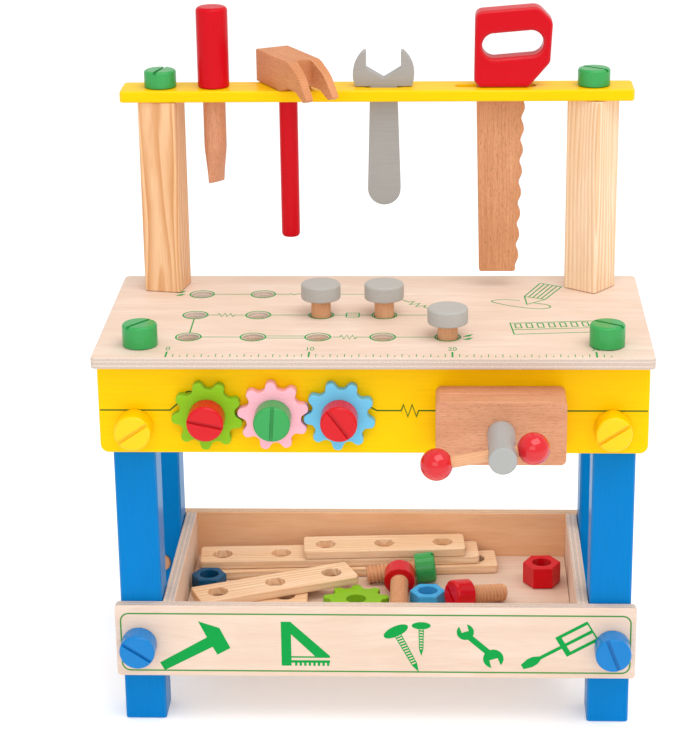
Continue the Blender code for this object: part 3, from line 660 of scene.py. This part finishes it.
def make_rack():
    extent = size("tool_rack")
    middle = centre("tool_rack")
    holes = []
    for node, radius in (("rack_bolt_left", BOLT_HOLE_RADIUS), ("rack_bolt_right", BOLT_HOLE_RADIUS),
                         ("screwdriver_handle", 0.0090), ("hammer_handle", 0.0078)):
        place = centre(node) - middle
        holes.append(circle(place.x, place.y, radius))
    slots = ((centre("wrench").x, 0.030, 0.0105), (centre("saw_blade").x - 0.004, 0.058, 0.0100))
    for x, length, width in slots:
        holes.append(rounded_rectangle(length, width, width * 0.45, x - middle.x, 0))
    shape = plate(rounded_rectangle(extent.x, extent.y, 0.003), holes, 0, extent.z, 0.0014, 0.0008)
    settle(detailed("tool_rack", shape, paint("tool_rack", "yellow")), "tool_rack")


# --- bolts
def threaded(length, pitch=0.0030, depth=0.0013, segments=56):
    """A wooden screw thread round local Z from z = -length up to the head."""
    rows = round(length / pitch * 12)
    rings = []
    for row in range(rows + 1):
        z = -length + length * row / rows
        fade = min(1.0, (-z - 0.0010) / 0.0025) if z < -0.0010 else 0.0
        end = min(1.0, (z + length) / 0.0012)
        points = []
        for i in range(segments):
            turn = i / segments
            phase = (z / pitch - turn) % 1.0
            groove = max(0.0, 1 - abs(phase - 0.5) / 0.36)
            radius = SHANK_RADIUS - depth * groove * max(0.0, fade) - 0.0010 * (1 - end)
            a = 2 * pi * turn
            points.append((radius * cos(a), radius * sin(a), z))
        rings.append(points)
    return stack(rings)


def bare_below_head(bm):
    """Gives everything below the head's underside, at z = 0, the second material."""
    for face in bm.faces:
        if face.calc_center_median().z < -0.0001:
            face.material_index = 1
    return bm


def make_bolt(node, colour, head, shank, slot_angle, rotation, thread=False):
    """A slotted bolt with a painted head and a bare shank. Local +Z points out of the head."""
    radius, top = head
    profile = [] if thread else [(SHANK_RADIUS - 0.001, -shank), (SHANK_RADIUS, -shank + 0.001)]
    profile += [(SHANK_RADIUS, -0.0006), (SHANK_RADIUS, 0)]
    profile += round_over(radius, 0, 0.0007, upwards=False, steps=3)
    profile += [(radius, top * 0.5)]
    profile += round_over(radius, top, 0.0021, steps=6)
    shape = bare_below_head(lathe(profile))
    head_paint = paint(node, colour, "Z", 0.32, 0.45, squared=False)
    bolt = detailed(node, shape, head_paint, dowel(node + "_wood"), rotation=rotation)
    if thread:
        helix = threaded(shank)
        for face in helix.faces:
            face.material_index = 1
        combine(bolt, helix, "UNION")
    groove = plate(rounded_rectangle(0.034, 0.0026, 0.0003, steps=2), [], top - 0.0021, top + 0.003, 0.0003)
    combine(bolt, groove, rotation=(0, 0, radians(slot_angle)))
    settle(bolt, node)


def make_fixed_bolts():
    rows = (
        ("apron_bolt_left", "yellow", BOARD_BOLT, 34, FACING_FRONT),
        ("tray_bolt_front_left", "blue", BOARD_BOLT, -34, FACING_FRONT),
        ("tray_bolt_rear_left", "blue", BOARD_BOLT, -34, FACING_BACK),
        ("apron_bolt_right", "yellow", BOARD_BOLT, 33, FACING_FRONT),
        ("tray_bolt_front_right", "blue", BOARD_BOLT, -69, FACING_FRONT),
        ("tray_bolt_rear_right", "blue", BOARD_BOLT, -69, FACING_BACK),
        ("corner_bolt_left", "green", CORNER_BOLT, 52, UPRIGHT),
        ("rack_bolt_left", "green", RACK_BOLT, 76, UPRIGHT),
        ("corner_bolt_right", "green", CORNER_BOLT, -34, UPRIGHT),
        ("rack_bolt_right", "green", RACK_BOLT, -38, UPRIGHT),
        ("gear_bolt_green", "red", BOARD_BOLT, -12, FACING_FRONT),
        ("gear_bolt_pink", "green", BOARD_BOLT, 86, FACING_FRONT),
        ("gear_bolt_blue", "red", BOARD_BOLT, -54, FACING_FRONT),
    )
    for node, colour, head, slot_angle, rotation in rows:
        make_bolt(node, colour, head, max(size(node)) - head[1], slot_angle, rotation)


# --- gears
def gear_outline(phase, teeth=9, root=0.0194, tip=0.025):
    """Rounded teeth: the radius swings smoothly between root and tip."""
    sharpness = 1.6
    narrowing = 0.10
    low = tanh(sharpness * (-1 - narrowing))
    high = tanh(sharpness * (1 - narrowing))
    outline = []
    count = teeth * 24
    for i in range(count):
        a = 2 * pi * i / count
        swing = tanh(sharpness * (cos(teeth * a) - narrowing))
        radius = root + (tip - root) * (swing - low) / (high - low)
        turn = a + radians(phase)
        outline.append((radius * cos(turn), radius * sin(turn)))
    return outline


def make_gears():
    rows = (("gear_green", "lime", 26, FACING_FRONT), ("gear_pink", "pink", 14, FACING_FRONT),
            ("gear_blue", "sky_blue", 26, FACING_FRONT), ("gear_loose", "lime", 90, UPRIGHT))
    for node, colour, phase, rotation in rows:
        shape = plate(gear_outline(phase), [circle(0, 0, GEAR_HOLE_RADIUS)], 0, GEAR_THICKNESS, 0.0008)
        gear = detailed(node, shape, paint(node, colour), rotation=rotation)
        settle(gear, node)


# --- vise
def make_jaws():
    thickness = size("vise_rear_jaw").y
    for node in ("vise_rear_jaw", "vise_front_jaw"):
        extent = size(node)
        level = centre("vise_screw").z - centre(node).z
        holes = [circle(0, level, SCREW_HOLE_RADIUS)]
        if node == "vise_rear_jaw":
            holes += [circle(offset, level, PIN_HOLE_RADIUS) for offset in (-PIN_OFFSET, PIN_OFFSET)]
        shape = plate(rounded_rectangle(extent.x, extent.z, 0.0040), holes, 0, thickness, 0.0014, steps=5)
        jaw = detailed(node, shape, beech(node), rotation=FACING_FRONT)
        if node == "vise_front_jaw":
            for offset in (-PIN_OFFSET, PIN_OFFSET):
                pin = rod(PIN_RADIUS, thickness - extent.y, 0.008, 32)
                combine(jaw, pin, "UNION", location=(offset, level, 0))
        settle(jaw, node)


def make_vise_screw():
    length = size("vise_screw").y
    tip = 0.0515
    tail = tip - length
    profile = [(0.0068, tail), (0.0080, tail + 0.0012), (0.0080, 0), (SCREW_RADIUS - 0.0005, 0)]
    profile += [(SCREW_RADIUS, 0.0005), (SCREW_RADIUS, tip / 2)]
    profile += round_over(SCREW_RADIUS, tip, 0.0013, steps=5)
    material = paint("vise_screw", "silver", "Z", 0.30, 0.20, squared=False)
    screw = detailed("vise_screw", lathe(profile), material, rotation=FACING_FRONT)
    bore = rod(BAR_RADIUS + GAP, -0.02, 0.02)
    combine(screw, bore, location=(0, 0, tip - 0.015), rotation=(0, pi / 2, BAR_TILT))
    settle(screw, "vise_screw")


def make_vise_handle():
    turn = (0, pi / 2 - BAR_TILT, 0)
    span = size("vise_bar")
    length = (span.x - 2 * BAR_RADIUS * sin(BAR_TILT)) / cos(BAR_TILT)
    profile = round_over(BAR_RADIUS, -length / 2, 0.0006, upwards=False)
    profile += round_over(BAR_RADIUS, length / 2, 0.0006)
    bar = detailed("vise_bar", lathe(profile, 40), dowel("vise_bar_dowel"), rotation=turn)
    settle(bar, "vise_bar")
    angles = [radians(-90 + 5 * i) for i in range(1, 36)]
    profile = [(BALL_RADIUS * cos(a), BALL_RADIUS * sin(a)) for a in angles]
    profile = [(0, -BALL_RADIUS)] + profile + [(0, BALL_RADIUS)]
    for side, near, far in (("left", -GAP, 0.015), ("right", -0.015, GAP)):
        node = "vise_ball_" + side
        material = paint(node, "red", "Z", 0.20, 1.0, squared=False)
        ball = detailed(node, lathe(profile), material, rotation=turn)
        combine(ball, rod(BAR_RADIUS + GAP, near, far))
        settle(ball, node)


# --- pegs
def make_pegs():
    radius = 0.0142
    top = 0.0115
    for side in ("left", "middle", "right"):
        node = "peg_" + side
        stem = size(node).z - top
        profile = [(0.0058, -stem), (0.0066, -stem + 0.0004), (0.0070, -stem + 0.0012), (0.0070, -0.0006)]
        profile += [(0.0070, 0)]
        profile += round_over(radius, 0, 0.0011, upwards=False, steps=3) + [(radius, top / 2)]
        profile += round_over(radius, top, 0.0019, steps=6)
        head_paint = paint(node, "grey", "X", 0.42, 0.12, squared=False)
        shape = bare_below_head(lathe(profile, 72))
        settle(detailed(node, shape, head_paint, dowel(node + "_dowel")), node)


# --- tools on the rack
def make_screwdriver():
    node = "screwdriver_handle"
    height = size(node).z
    radius = 0.0115
    profile = round_over(radius, 0, 0.0010, upwards=False) + [(radius, height / 2)]
    profile += round_over(radius, height, 0.0032, steps=7)
    handle = detailed(node, lathe(profile), paint(node, "deep_red", "Z", 0.28, 0.10, squared=False))
    combine(handle, rod(0.0085, -0.005, 0.0203))
    settle(handle, node)
    # height, half width and half thickness of the blade, from the top down to its edge
    sections = ((0.0200, 0.0082, 0.0082), (-0.0440, 0.0082, 0.0082), (-0.0490, 0.00818, 0.0074),
                (-0.0540, 0.0081, 0.0062), (-0.0590, 0.0080, 0.0049), (-0.0640, 0.0079, 0.0036),
                (-0.0690, 0.00778, 0.0024), (-0.0715, 0.0077, 0.0016))
    rings = []
    for z, half_width, half_thickness in reversed(sections):
        angles = [2 * pi * i / 64 for i in range(64)]
        rings.append([(half_width * cos(a), half_thickness * sin(a), z) for a in angles])
    node = "screwdriver_blade"
    settle(detailed(node, stack(rings), beech(node, "Z"), rotation=(0, 0, DRIVER_TURN)), node)


def make_hammer():
    grip = 0.0274      # from the striking face to the handle's axis
    width = 0.026
    corners = (
        (0.0000, 0.0000, 0.0011), (0.0400, 0.0000, 0.0020), (0.0520, 0.0045, 0.0060),
        (0.0680, 0.0042, 0.0080), (0.0800, -0.0010, 0.0011), (0.0865, 0.0015, 0.0011),
        (0.0735, 0.0160, 0.0250), (0.0560, 0.0238, 0.0200), (0.0000, 0.0238, 0.0011),
    )
    shape = plate(placed(rounded_polygon(corners), -grip, 0), [], -width / 2, width / 2, 0.0009)
    turn = (pi / 2, 0, HAMMER_TURN)
    head = detailed("hammer_head", shape, beech("hammer_head", "X", DARK_BEECH), rotation=turn)
    gap_corners = ((0.0530, -0.0052, 0.0045), (0.0950, -0.0082, 0.0005),
                   (0.0950, 0.0082, 0.0005), (0.0530, 0.0052, 0.0045))
    gap = plate(placed(rounded_polygon(gap_corners), -grip, 0), [], -0.02, 0.04, 0)
    combine(head, gap, rotation=(-pi / 2, 0, 0))
    combine(head, rod(0.0071, -0.014, 0.014), location=(0, 0.004, 0), rotation=(pi / 2, 0, 0))
    settle(head, "hammer_head")
    profile = [(0.0050, -0.1130), (0.0058, -0.1128), (0.0064, -0.1120), (0.0067, -0.1110), (0.0068, -0.1095),
               (0.0068, -0.04), (0.0068, 0.0160), (0.0064, 0.0170)]
    material = paint("hammer_handle", "deep_red", "Z", 0.28, 0.10, squared=False)
    settle(detailed("hammer_handle", lathe(profile), material), "hammer_handle")


def make_wrench():
    centre_z = 0.0088      # of the head, above the rack's slot
    radius = 0.0222
    end = -0.0765
    end_radius = 0.0120
    outline = [(0.0127, 0.0257), (0.0127, 0.0136), (0.0, 0.0060), (-0.0127, 0.0136), (-0.0127, 0.0257)]
    outline += arc(0, centre_z, radius, 130, 203.4, 24)
    outline += [(-0.0098, 0.0), (-end_radius, end)]
    outline += arc(0, end, end_radius, 190, 350, 30)
    outline += [(end_radius, end), (0.0098, 0.0)]
    outline += arc(0, centre_z, radius, -23.4, 50, 24)
    shape = plate(outline, [], 0, size("wrench").y, 0.0007)
    material = paint("wrench", "steel", "X", 0.42, 0.12)
    settle(detailed("wrench", shape, material, rotation=FACING_FRONT), "wrench")


def saw_blade_outline():
    """A slightly tapered blade with a row of soft waves along the right edge."""
    left_bottom = -0.0152
    right_top = 0.0176
    right_bottom = 0.0137
    depth = 0.1400
    corner = 0.002
    waves = 8
    swing = 0.0011
    outline = [(-0.0178, 0.0100), (-0.0178, -0.0060)]
    outline += [(left_bottom, -depth + 0.0022)]
    outline += arc(left_bottom + corner, -depth + corner, corner, 190, 265, 4)
    outline += arc(right_bottom - 2 * corner, -depth + corner, corner, 275, 340, 4)
    steps = waves * 16
    for i in range(1, steps + 1):
        share = 1 - i / steps
        z = -0.008 - share * (depth - 0.012)
        edge = right_top + (right_bottom - right_top) * share
        outline.append((edge - swing * (1 + cos(2 * pi * waves * share)), z))
    return outline + [(right_top, -0.0060), (right_top, 0.0100)]


def make_saw():
    corners = (
        (-0.0155, 0.0000, 0.0024), (0.0195, 0.0000, 0.0026), (0.0350, 0.0180, 0.0060),
        (0.0366, 0.0475, 0.0080), (0.0262, 0.0584, 0.0100), (-0.0190, 0.0548, 0.0060),
        (-0.0196, 0.0045, 0.0024),
    )
    grip = arc(-0.0050, 0.0300, 0.0090, 90, 270, 24) + arc(0.0210, 0.0322, 0.0090, -90, 90, 24)
    thickness = size("saw_handle").y
    shape = plate(rounded_polygon(corners, 10), [grip], -thickness / 2, thickness / 2, 0.0022, 0.0030, 6)
    material = paint("saw_handle", "deep_red", "X", 0.28, 0.10)
    handle = detailed("saw_handle", shape, material, rotation=FACING_FRONT)
    pocket = [(-0.0181, -0.01), (0.0179, -0.01), (0.0179, 0.0103), (-0.0181, 0.0103)]
    combine(handle, plate(pocket, [], -0.0043, 0.0043, 0))
    settle(handle, "saw_handle")
    shape = plate(saw_blade_outline(), [], -0.0040, 0.0040, 0.0006, steps=3)
    wood_grain = beech("saw_blade", "Y", PALE_BEECH)
    settle(detailed("saw_blade", shape, wood_grain, rotation=FACING_FRONT), "saw_blade")


# --- loose pieces in the tray
def make_loose_pieces():
    straps = (("lowest", 5, 4.0), ("long", 5, 3.6), ("upper", 3, 3.6), ("short", 2, 1.0),
              ("slanted", 3, 23.0))
    for name, count, turn in straps:
        node = "strap_" + name
        first = -(count - 1) / 2 * STRAP_PITCH
        holes = [circle(first + i * STRAP_PITCH, 0, HOLE_RADIUS) for i in range(count)]
        outline = rounded_rectangle(STRAP_PITCH * (count - 1) + 2 * STRAP_END, STRAP_WIDTH, 0.003)
        shape = plate(outline, holes, 0, size(node).z, 0.0009, 0.0007)
        strap = detailed(node, shape, pine(node, "X", PALE_PINE), rotation=(0, 0, radians(turn)))
        settle(strap, node)

    nuts = (("nut_dark_blue", "navy", 0.0135, 0.0, "blue_paint"),
            ("nut_light_blue", "middle_blue", 0.0135, 0.0, "sky_blue_paint"),
            ("nut_red", "red", 0.0145, 2.0, "red_paint"))
    for node, colour, radius, turn, slot in nuts:
        outline = rounded_polygon([(x, y, 0.0012) for x, y in arc(0, 0, radius, 0, 300, 5)], 4)
        shape = plate(outline, [circle(0, 0, BOLT_HOLE_RADIUS)], 0, size(node).z, 0.0011, 0.0008)
        nut = detailed(node, shape, paint(node, colour, "X", 0.32, 0.15), rotation=(0, 0, radians(turn)))
        settle(nut, node)

    bolts = (("loose_bolt_red", "red", 0.038, 25, 90), ("loose_bolt_green", "green", 0.038, 10, 2),
             ("loose_bolt_red_small", "red", 0.031, 60, 208))
    for node, colour, shank, slot_angle, heading in bolts:
        tip = asin((LOOSE_BOLT[0] - SHANK_RADIUS) / shank)      # lies on its head and its tip
        turn = (0, pi / 2 - tip, radians(heading))
        make_bolt(node, colour, LOOSE_BOLT, shank, slot_angle, turn, thread=True)


# --- printed lines
PRINT_SUNK = -0.00004
PRINT_PROUD = 0.00005
PRINT_STEP = 0.0000003
BOLD = 0.0013
MEDIUM = 0.0011
THIN = 0.0010
TICK = 0.0006
line_numbers = itertools.count(1)


def ribbon(bm, points, width=THIN, closed=False):
    """A thin flat line through 2D points, mitred at its corners. Each line is a hair higher
    than the one before, so that crossing lines never share a surface."""
    top = PRINT_PROUD + PRINT_STEP * (next(line_numbers) % 40)
    count = len(points)
    rings = []
    for i, (x, y) in enumerate(points):
        px, py = points[i - 1] if closed or i > 0 else points[i]
        nx, ny = points[(i + 1) % count] if closed or i < count - 1 else points[i]
        before = Vector((x - px, y - py))
        after = Vector((nx - x, ny - y))
        before = before.normalized() if before.length > 0 else after.normalized()
        after = after.normalized() if after.length > 0 else before
        middle = Vector((-before.y - after.y, before.x + after.x)).normalized()
        reach = width / 2 / max(0.5, middle.dot(Vector((-after.y, after.x))))
        left = (x + middle.x * reach, y + middle.y * reach)
        right = (x - middle.x * reach, y - middle.y * reach)
        rings.append(add_loop(bm, [(*left, PRINT_SUNK), (*right, PRINT_SUNK), (*right, top), (*left, top)]))
    for lower, upper in zip(rings, rings[1:]):
        bridge(bm, lower, upper)
    if closed:
        bridge(bm, rings[-1], rings[0])
    else:
        bm.faces.new(rings[0])
        bm.faces.new(rings[-1])


def patch(bm, outline, holes=()):
    plate(list(outline), list(holes), PRINT_SUNK, PRINT_PROUD, 0, 0, bm=bm)


def line_along(bm, start, end, width=THIN, zigzag=None):
    """A straight line from start to end, with a zigzag between two shares of its length."""
    start = Vector(start)
    end = Vector(end)
    points = [start]
    if zigzag:
        first, last, swing, peaks = zigzag
        side = Vector((start.y - end.y, end.x - start.x)).normalized() * swing
        points.append(start.lerp(end, first))
        for i in range(peaks):
            share = first + (last - first) * (i + 0.5) / peaks
            points.append(start.lerp(end, share) + (side if i % 2 == 0 else -side))
        points.append(start.lerp(end, last))
    points.append(end)
    ribbon(bm, points, width)


def smooth_curve(points, steps=8):
    """A Catmull-Rom curve through given points."""
    result = []
    padded = [points[0]] + list(points) + [points[-1]]
    for a, b, c, d in zip(padded, padded[1:], padded[2:], padded[3:]):
        for k in range(steps):
            t = k / steps
            result.append(tuple(
                0.5 * (2 * b[i] + (c[i] - a[i]) * t + (2 * a[i] - 5 * b[i] + 4 * c[i] - d[i]) * t * t
                       + (3 * b[i] - a[i] - 3 * c[i] + d[i]) * t ** 3) for i in range(2)))
    return result + [points[-1]]


def place_print(name, bm, material, location, rotation):
    obj = make_piece(name, bm, [material], location, rotation)
    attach(obj, "bench")
    return obj


def hole_place(column, row):
    return (HOLE_FIRST_X + column * HOLE_PITCH, HOLE_ROWS[row][0])


def print_circuit(bm):
    """Rings round the holes and a made-up wiring plan between them."""
    ring = 0.0088
    for row, (depth, count) in enumerate(HOLE_ROWS):
        for column in range(count):
            ribbon(bm, circle(*hole_place(column, row), ring, 48), BOLD, closed=True)

    def link(start, end, offset=0, zigzag=None):
        a = Vector(hole_place(*start))
        b = Vector(hole_place(*end))
        along = (b - a).normalized()
        side = Vector((-along.y, along.x)) * offset
        line_along(bm, a + along * ring + side, b - along * ring + side, THIN, zigzag)

    for row in (
        ((0, 2), (1, 2)),
        ((1, 2), (2, 2), 0, (0.36, 0.68, 0.0012, 3)),
        ((2, 2), (3, 2)),
        ((3, 2), (4, 1), 0, (0.34, 0.66, 0.0036, 5)),
        ((0, 1), (1, 1), 0, (0.26, 0.70, 0.0036, 6)),
        ((1, 1), (2, 1)),
        ((2, 1), (3, 1)),
        ((3, 1), (4, 1)),
        ((0, 1), (0, 0)),
        ((0, 0), (1, 0)),
        ((1, 0), (2, 0), 0.0022),
        ((1, 0), (2, 0), -0.0022),
        ((2, 0), (3, 0), 0, (0.24, 0.66, 0.0042, 6)),
        ((3, 0), (4, 0)),
    ):
        link(*row)
    box_x = (hole_place(2, 1)[0] + hole_place(3, 1)[0]) / 2
    ribbon(bm, rounded_rectangle(0.0092, 0.0095, 0.0004, box_x, HOLE_ROWS[1][0], 1), THIN, closed=True)
    for x, depth in ((-0.1463, 0.147), (0.0662, 0.046)):
        for shift in (-0.0034, 0.0034):
            leaf = [(x - 0.0036, depth + shift - 0.0026), (x + 0.0012, depth + shift - 0.0020),
                    (x + 0.0036, depth + shift + 0.0030), (x - 0.0010, depth + shift + 0.0008)]
            patch(bm, leaf)


def print_ruler(bm):
    """Ticks every half unit along the front edge, with a bold tick every ten units."""
    zero = -0.1418
    unit = 0.00985
    base = 0.0031
    for half in range(0, 63):
        x = zero + half * unit / 2
        if half % 20 == 0:
            ribbon(bm, [(x, base), (x, base + 0.0112)], BOLD)
        else:
            length = 0.0064 if half % 2 else 0.0036
            ribbon(bm, [(x, base + 0.0004), (x, base + length)], TICK)
    return [(zero + ten * 10 * unit, str(ten * 10)) for ten in range(4)]


def print_pencil(bm):
    """A striped pencil with the loop that it has just drawn."""
    back = (Vector((0.1215, 0.1723)), Vector((0.1369, 0.1633)))
    front = (Vector((0.1086, 0.1395)), Vector((0.1235, 0.1323)))
    tip = (0.1098, 0.1206)
    for k in range(6):
        share = k / 5
        ribbon(bm, [front[0].lerp(front[1], share), back[0].lerp(back[1], share)])
    for points in (back, front, (front[0], tip, front[1])):
        ribbon(bm, points)
    loop = ((0.1048, 0.1301), (0.0950, 0.1318), (0.0868, 0.1310), (0.0842, 0.1277), (0.0880, 0.1235),
            (0.1000, 0.1160), (0.1139, 0.1107), (0.1225, 0.1108), (0.1266, 0.1145), (0.1240, 0.1198),
            (0.1150, 0.1240))
    ribbon(bm, smooth_curve(loop))


def print_ruler_picture(bm):
    """A small ruler, drawn slightly turned, with a row of slots."""
    corner = Vector((0.0986, 0.0524))
    turn = radians(5.2)
    along = Vector((cos(turn), sin(turn)))
    up = Vector((-sin(turn), cos(turn)))
    length = 0.066
    width = 0.0247

    def spot(x, y):
        return corner + along * x + up * y

    def frame_of(left, bottom, right, top):
        points = [spot(left, bottom), spot(right, bottom), spot(right, top), spot(left, top)]
        ribbon(bm, points, closed=True)

    frame_of(0, 0, length, width)
    ribbon(bm, [spot(0, 0.0098), spot(length, 0.0098)])
    for k in range(8):
        left = 0.0030 + k * 0.0080
        frame_of(left, 0.0135, left + 0.0040, 0.0225)


def print_tabletop():
    low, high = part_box("tabletop")
    place = (0, low.y, high.z)
    green = ink("tabletop_ink", (0.020, 0.300, 0.065))
    bm = bmesh.new()
    print_circuit(bm)
    numbers = print_ruler(bm)
    print_pencil(bm)
    print_ruler_picture(bm)
    place_print("tabletop_print", bm, green, place, UPRIGHT)
    for x, text in numbers:
        curve = bpy.data.curves.new("ruler_number", "FONT")
        curve.body = text
        curve.size = 0.0104
        curve.align_x = "CENTER"
        curve.extrude = PRINT_PROUD
        holder = new_object("ruler_number", curve)
        mesh = final_mesh(holder)
        bpy.data.objects.remove(holder)
        mesh.materials.clear()
        mesh.materials.append(green)
        number = new_object("ruler_number_" + text, mesh)
        number.location = (x, low.y + 0.0172, high.z)
        number.scale = (0.62, 1.0, 1.0)
        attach(number, "bench")


def print_apron():
    low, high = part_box("front_apron")
    bm = bmesh.new()
    level = 0.2448
    edge = high.x - 0.0010
    from_left = ((-edge, level), (-0.1410, level), (-0.1359, 0.2493), (-0.1286, 0.2586), (-0.1200, 0.2586))
    ribbon(bm, from_left, MEDIUM)
    ribbon(bm, ((-0.0060, 0.2500), (-0.0004, 0.2467), (0.0031, level), (0.0197, level)), MEDIUM)
    line_along(bm, (0.0197, level), (0.0322, level), MEDIUM, (0.02, 0.98, 0.0044, 4))
    ribbon(bm, ((0.0322, level), (0.0480, level)), MEDIUM)
    ribbon(bm, ((0.1300, level), (edge, level)), MEDIUM)
    place_print("apron_print", bm, ink("apron_ink", (0.070, 0.150, 0.010)), (0, low.y, 0), FACING_FRONT)


def print_hammer(bm, x, z):
    """A claw hammer that points up to the left."""
    outline = ((-0.0256, -0.0164), (-0.0223, -0.0226), (0.0130, -0.0037), (0.0164, -0.0099),
               (0.0259, -0.0045), (0.0184, 0.0114), (0.0031, 0.0166), (0.0091, 0.0039))
    patch(bm, placed(outline, x, z))


def print_set_square(bm, x, z):
    """A right-angled triangle over a row of ruler teeth."""
    outline = ((0, 0), (0, 0.0350), (0.0068, 0.0350), (0.0350, 0.0080), (0.0350, 0.0064),
               (0.0072, 0.0064), (0.0072, 0))
    window = ((0.0072, 0.0250), (0.0072, 0.0076), (0.0243, 0.0076))
    patch(bm, placed(outline, x, z), [placed(window, x, z)])
    ribbon(bm, placed(((0.0072, 0.0034), (0.0350, 0.0034)), x, z), 0.0020)
    for k in range(8):
        left = 0.0105 + k * 0.0033
        ribbon(bm, placed(((left, 0.0030), (left, 0)), x, z), 0.0017)


def print_wood_screw(bm, x, z, degrees, head, length, width):
    """A countersunk screw: an oval head, a shaft of short bars and a pointed tip."""
    oval = [(head / 2 * cos(a), head * 0.21 * sin(a)) for a in [pi / 16 * i for i in range(32)]]
    patch(bm, placed(oval, x, z, degrees))
    bars = round(length / 0.0022)
    for k in range(bars):
        y = -head * 0.20 - 0.0012 - k * 0.0022
        share = 1 - 0.25 * k / bars
        bar = ((-width / 2 * share, y), (width / 2 * share, y - 0.0004))
        ribbon(bm, placed(bar, x, z, degrees), 0.0012)
    for side in (-1, 1):
        rail = ((side * width * 0.46, -head * 0.15), (side * width * 0.36, -head * 0.20 - length))
        ribbon(bm, placed(rail, x, z, degrees), 0.0006)
    end = -head * 0.20 - length
    tip = ((-width * 0.44, end), (width * 0.44, end), (0, end - width * 1.5))
    patch(bm, placed(tip, x, z, degrees))


def print_wrench(bm, x, z):
    """A double open-ended wrench that runs down to the right."""
    opening = 28
    for radius, start, right, up in ((0.0062, 108, -0.0102, 0.0112), (0.0074, -72, 0.0100, -0.0098)):
        outline = arc(0, 0, radius, start + opening, start + 360 - opening, 22)
        notch = ((radius * 0.05, -radius * 0.42), (radius * 0.05, radius * 0.42))
        patch(bm, placed(outline + placed(notch, 0, 0, start), x + right, z + up))
    ribbon(bm, [(x - 0.0078, z + 0.0078), (x + 0.0070, z - 0.0055)], 0.0046)


def print_screwdriver(bm, x, z):
    """A screwdriver with a striped grip, its blade down to the left."""
    tilt = 30
    grip = 0.0255
    half = 0.0085
    lines = [((0, y), (grip, y), 0.0024) for y in (-half + 0.0010, 0.0, half - 0.0010)]
    lines += [((0.0018, -half), (0.0018, half), 0.0040), ((grip, -half), (grip, half), 0.0012)]
    lines += [((0, 0), (-0.0185, 0), 0.0026)]
    for start, end, width in lines:
        ribbon(bm, placed((start, end), x, z, tilt), width)
    tip = ((-0.0170, 0.0013), (-0.0215, 0.0034), (-0.0260, 0.0036), (-0.0320, 0.0020), (-0.0320, -0.0020),
           (-0.0260, -0.0036), (-0.0215, -0.0034), (-0.0170, -0.0013))
    patch(bm, placed(tip, x, z, tilt))


def print_tray():
    low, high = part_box("tray_front")
    place = (0, low.y, 0)
    middle = (low.z + high.z) / 2
    bm = bmesh.new()
    frame_line = rounded_rectangle(high.x * 2 - 0.0080, 0.0451, 0.0060, 0, 0.0660)
    ribbon(bm, frame_line, MEDIUM, closed=True)
    place_print("tray_frame_print", bm, ink("frame_ink", (0.060, 0.260, 0.050)), place, FACING_FRONT)
    bm = bmesh.new()
    print_hammer(bm, -0.1301, middle - 0.0009)
    print_set_square(bm, -0.0674, middle - 0.0192)
    print_wood_screw(bm, 0.0152, 0.0757, 27, 0.0192, 0.0250, 0.0050)
    print_wood_screw(bm, 0.0334, 0.0803, 0, 0.0136, 0.0160, 0.0036)
    print_wrench(bm, 0.0752, 0.0642)
    print_screwdriver(bm, 0.1337, 0.0640)
    place_print("tray_pictures_print", bm, ink("picture_ink", (0.003, 0.310, 0.055)), place, FACING_FRONT)


# --- stage, light and camera
def make_stage():
    mesh = bpy.data.meshes.new("floor")
    reach = 6.0
    corners = [(-reach, -reach, 0), (reach, -reach, 0), (reach, reach, 0), (-reach, reach, 0)]
    mesh.from_pydata(corners, [], [(0, 1, 2, 3)])
    floor = new_object("floor", mesh)
    nodes = Nodes("floor_white")
    nodes.surface({
        "Base Color": (0.86, 0.86, 0.86, 1),
        "Roughness": 0.9,
        "Specular IOR Level": 0.0,
        "Emission Color": (1, 1, 1, 1),
        "Emission Strength": 0.26,
    })
    mesh.materials.append(nodes.material)
    floor.location = (0, 0, -0.0002)


def add_area_light(name, location, aim, width, height, power):
    light = bpy.data.lights.new(name, "AREA")
    light.shape = "RECTANGLE"
    light.size = width
    light.size_y = height
    light.energy = power
    obj = new_object(name, light)
    obj.location = location
    obj.rotation_euler = (Vector(aim) - Vector(location)).to_track_quat("-Z", "Y").to_euler()


def make_light():
    world = bpy.data.worlds.new("studio")
    bpy.context.scene.world = world
    world.use_nodes = True
    background = world.node_tree.nodes["Background"]
    background.inputs["Color"].default_value = (1, 1, 1, 1)
    background.inputs["Strength"].default_value = 0.87
    middle = (0, 0, 0.25)
    add_area_light("key", (0.6, -0.8, 2.3), middle, 2.2, 1.6, 29)
    add_area_light("front", (-0.3, -2.2, 1.15), middle, 1.6, 1.0, 7)
    below_top = (0, centre("tray_floor").y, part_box("tabletop")[0].z - 0.012)
    add_area_light("tray", below_top, centre("tray_floor"), 0.26, 0.10, 0.2)
    bpy.context.scene.view_settings.view_transform = "Standard"


def make_camera():
    data = bpy.data.cameras.new("camera")
    data.lens = 111.443
    data.sensor_width = 36.0
    camera = new_object("camera", data)
    camera.location = (0.048988, -1.560890, 0.808107)
    camera.rotation_euler = [radians(angle) for angle in (70.3847, 0.7824, 2.4433)]
    bpy.context.scene.camera = camera


make_camera()
make_light()
make_stage()
make_tabletop()
for leg_end in ("front", "rear"):
    for leg_side in ("left", "right"):
        make_leg(leg_end, leg_side)
make_aprons()
make_tray()
make_posts()
make_rack()
make_fixed_bolts()
make_gears()
make_jaws()
make_vise_screw()
make_vise_handle()
make_pegs()
make_screwdriver()
make_hammer()
make_wrench()
make_saw()
make_loose_pieces()
print_tabletop()
print_apron()
print_tray()
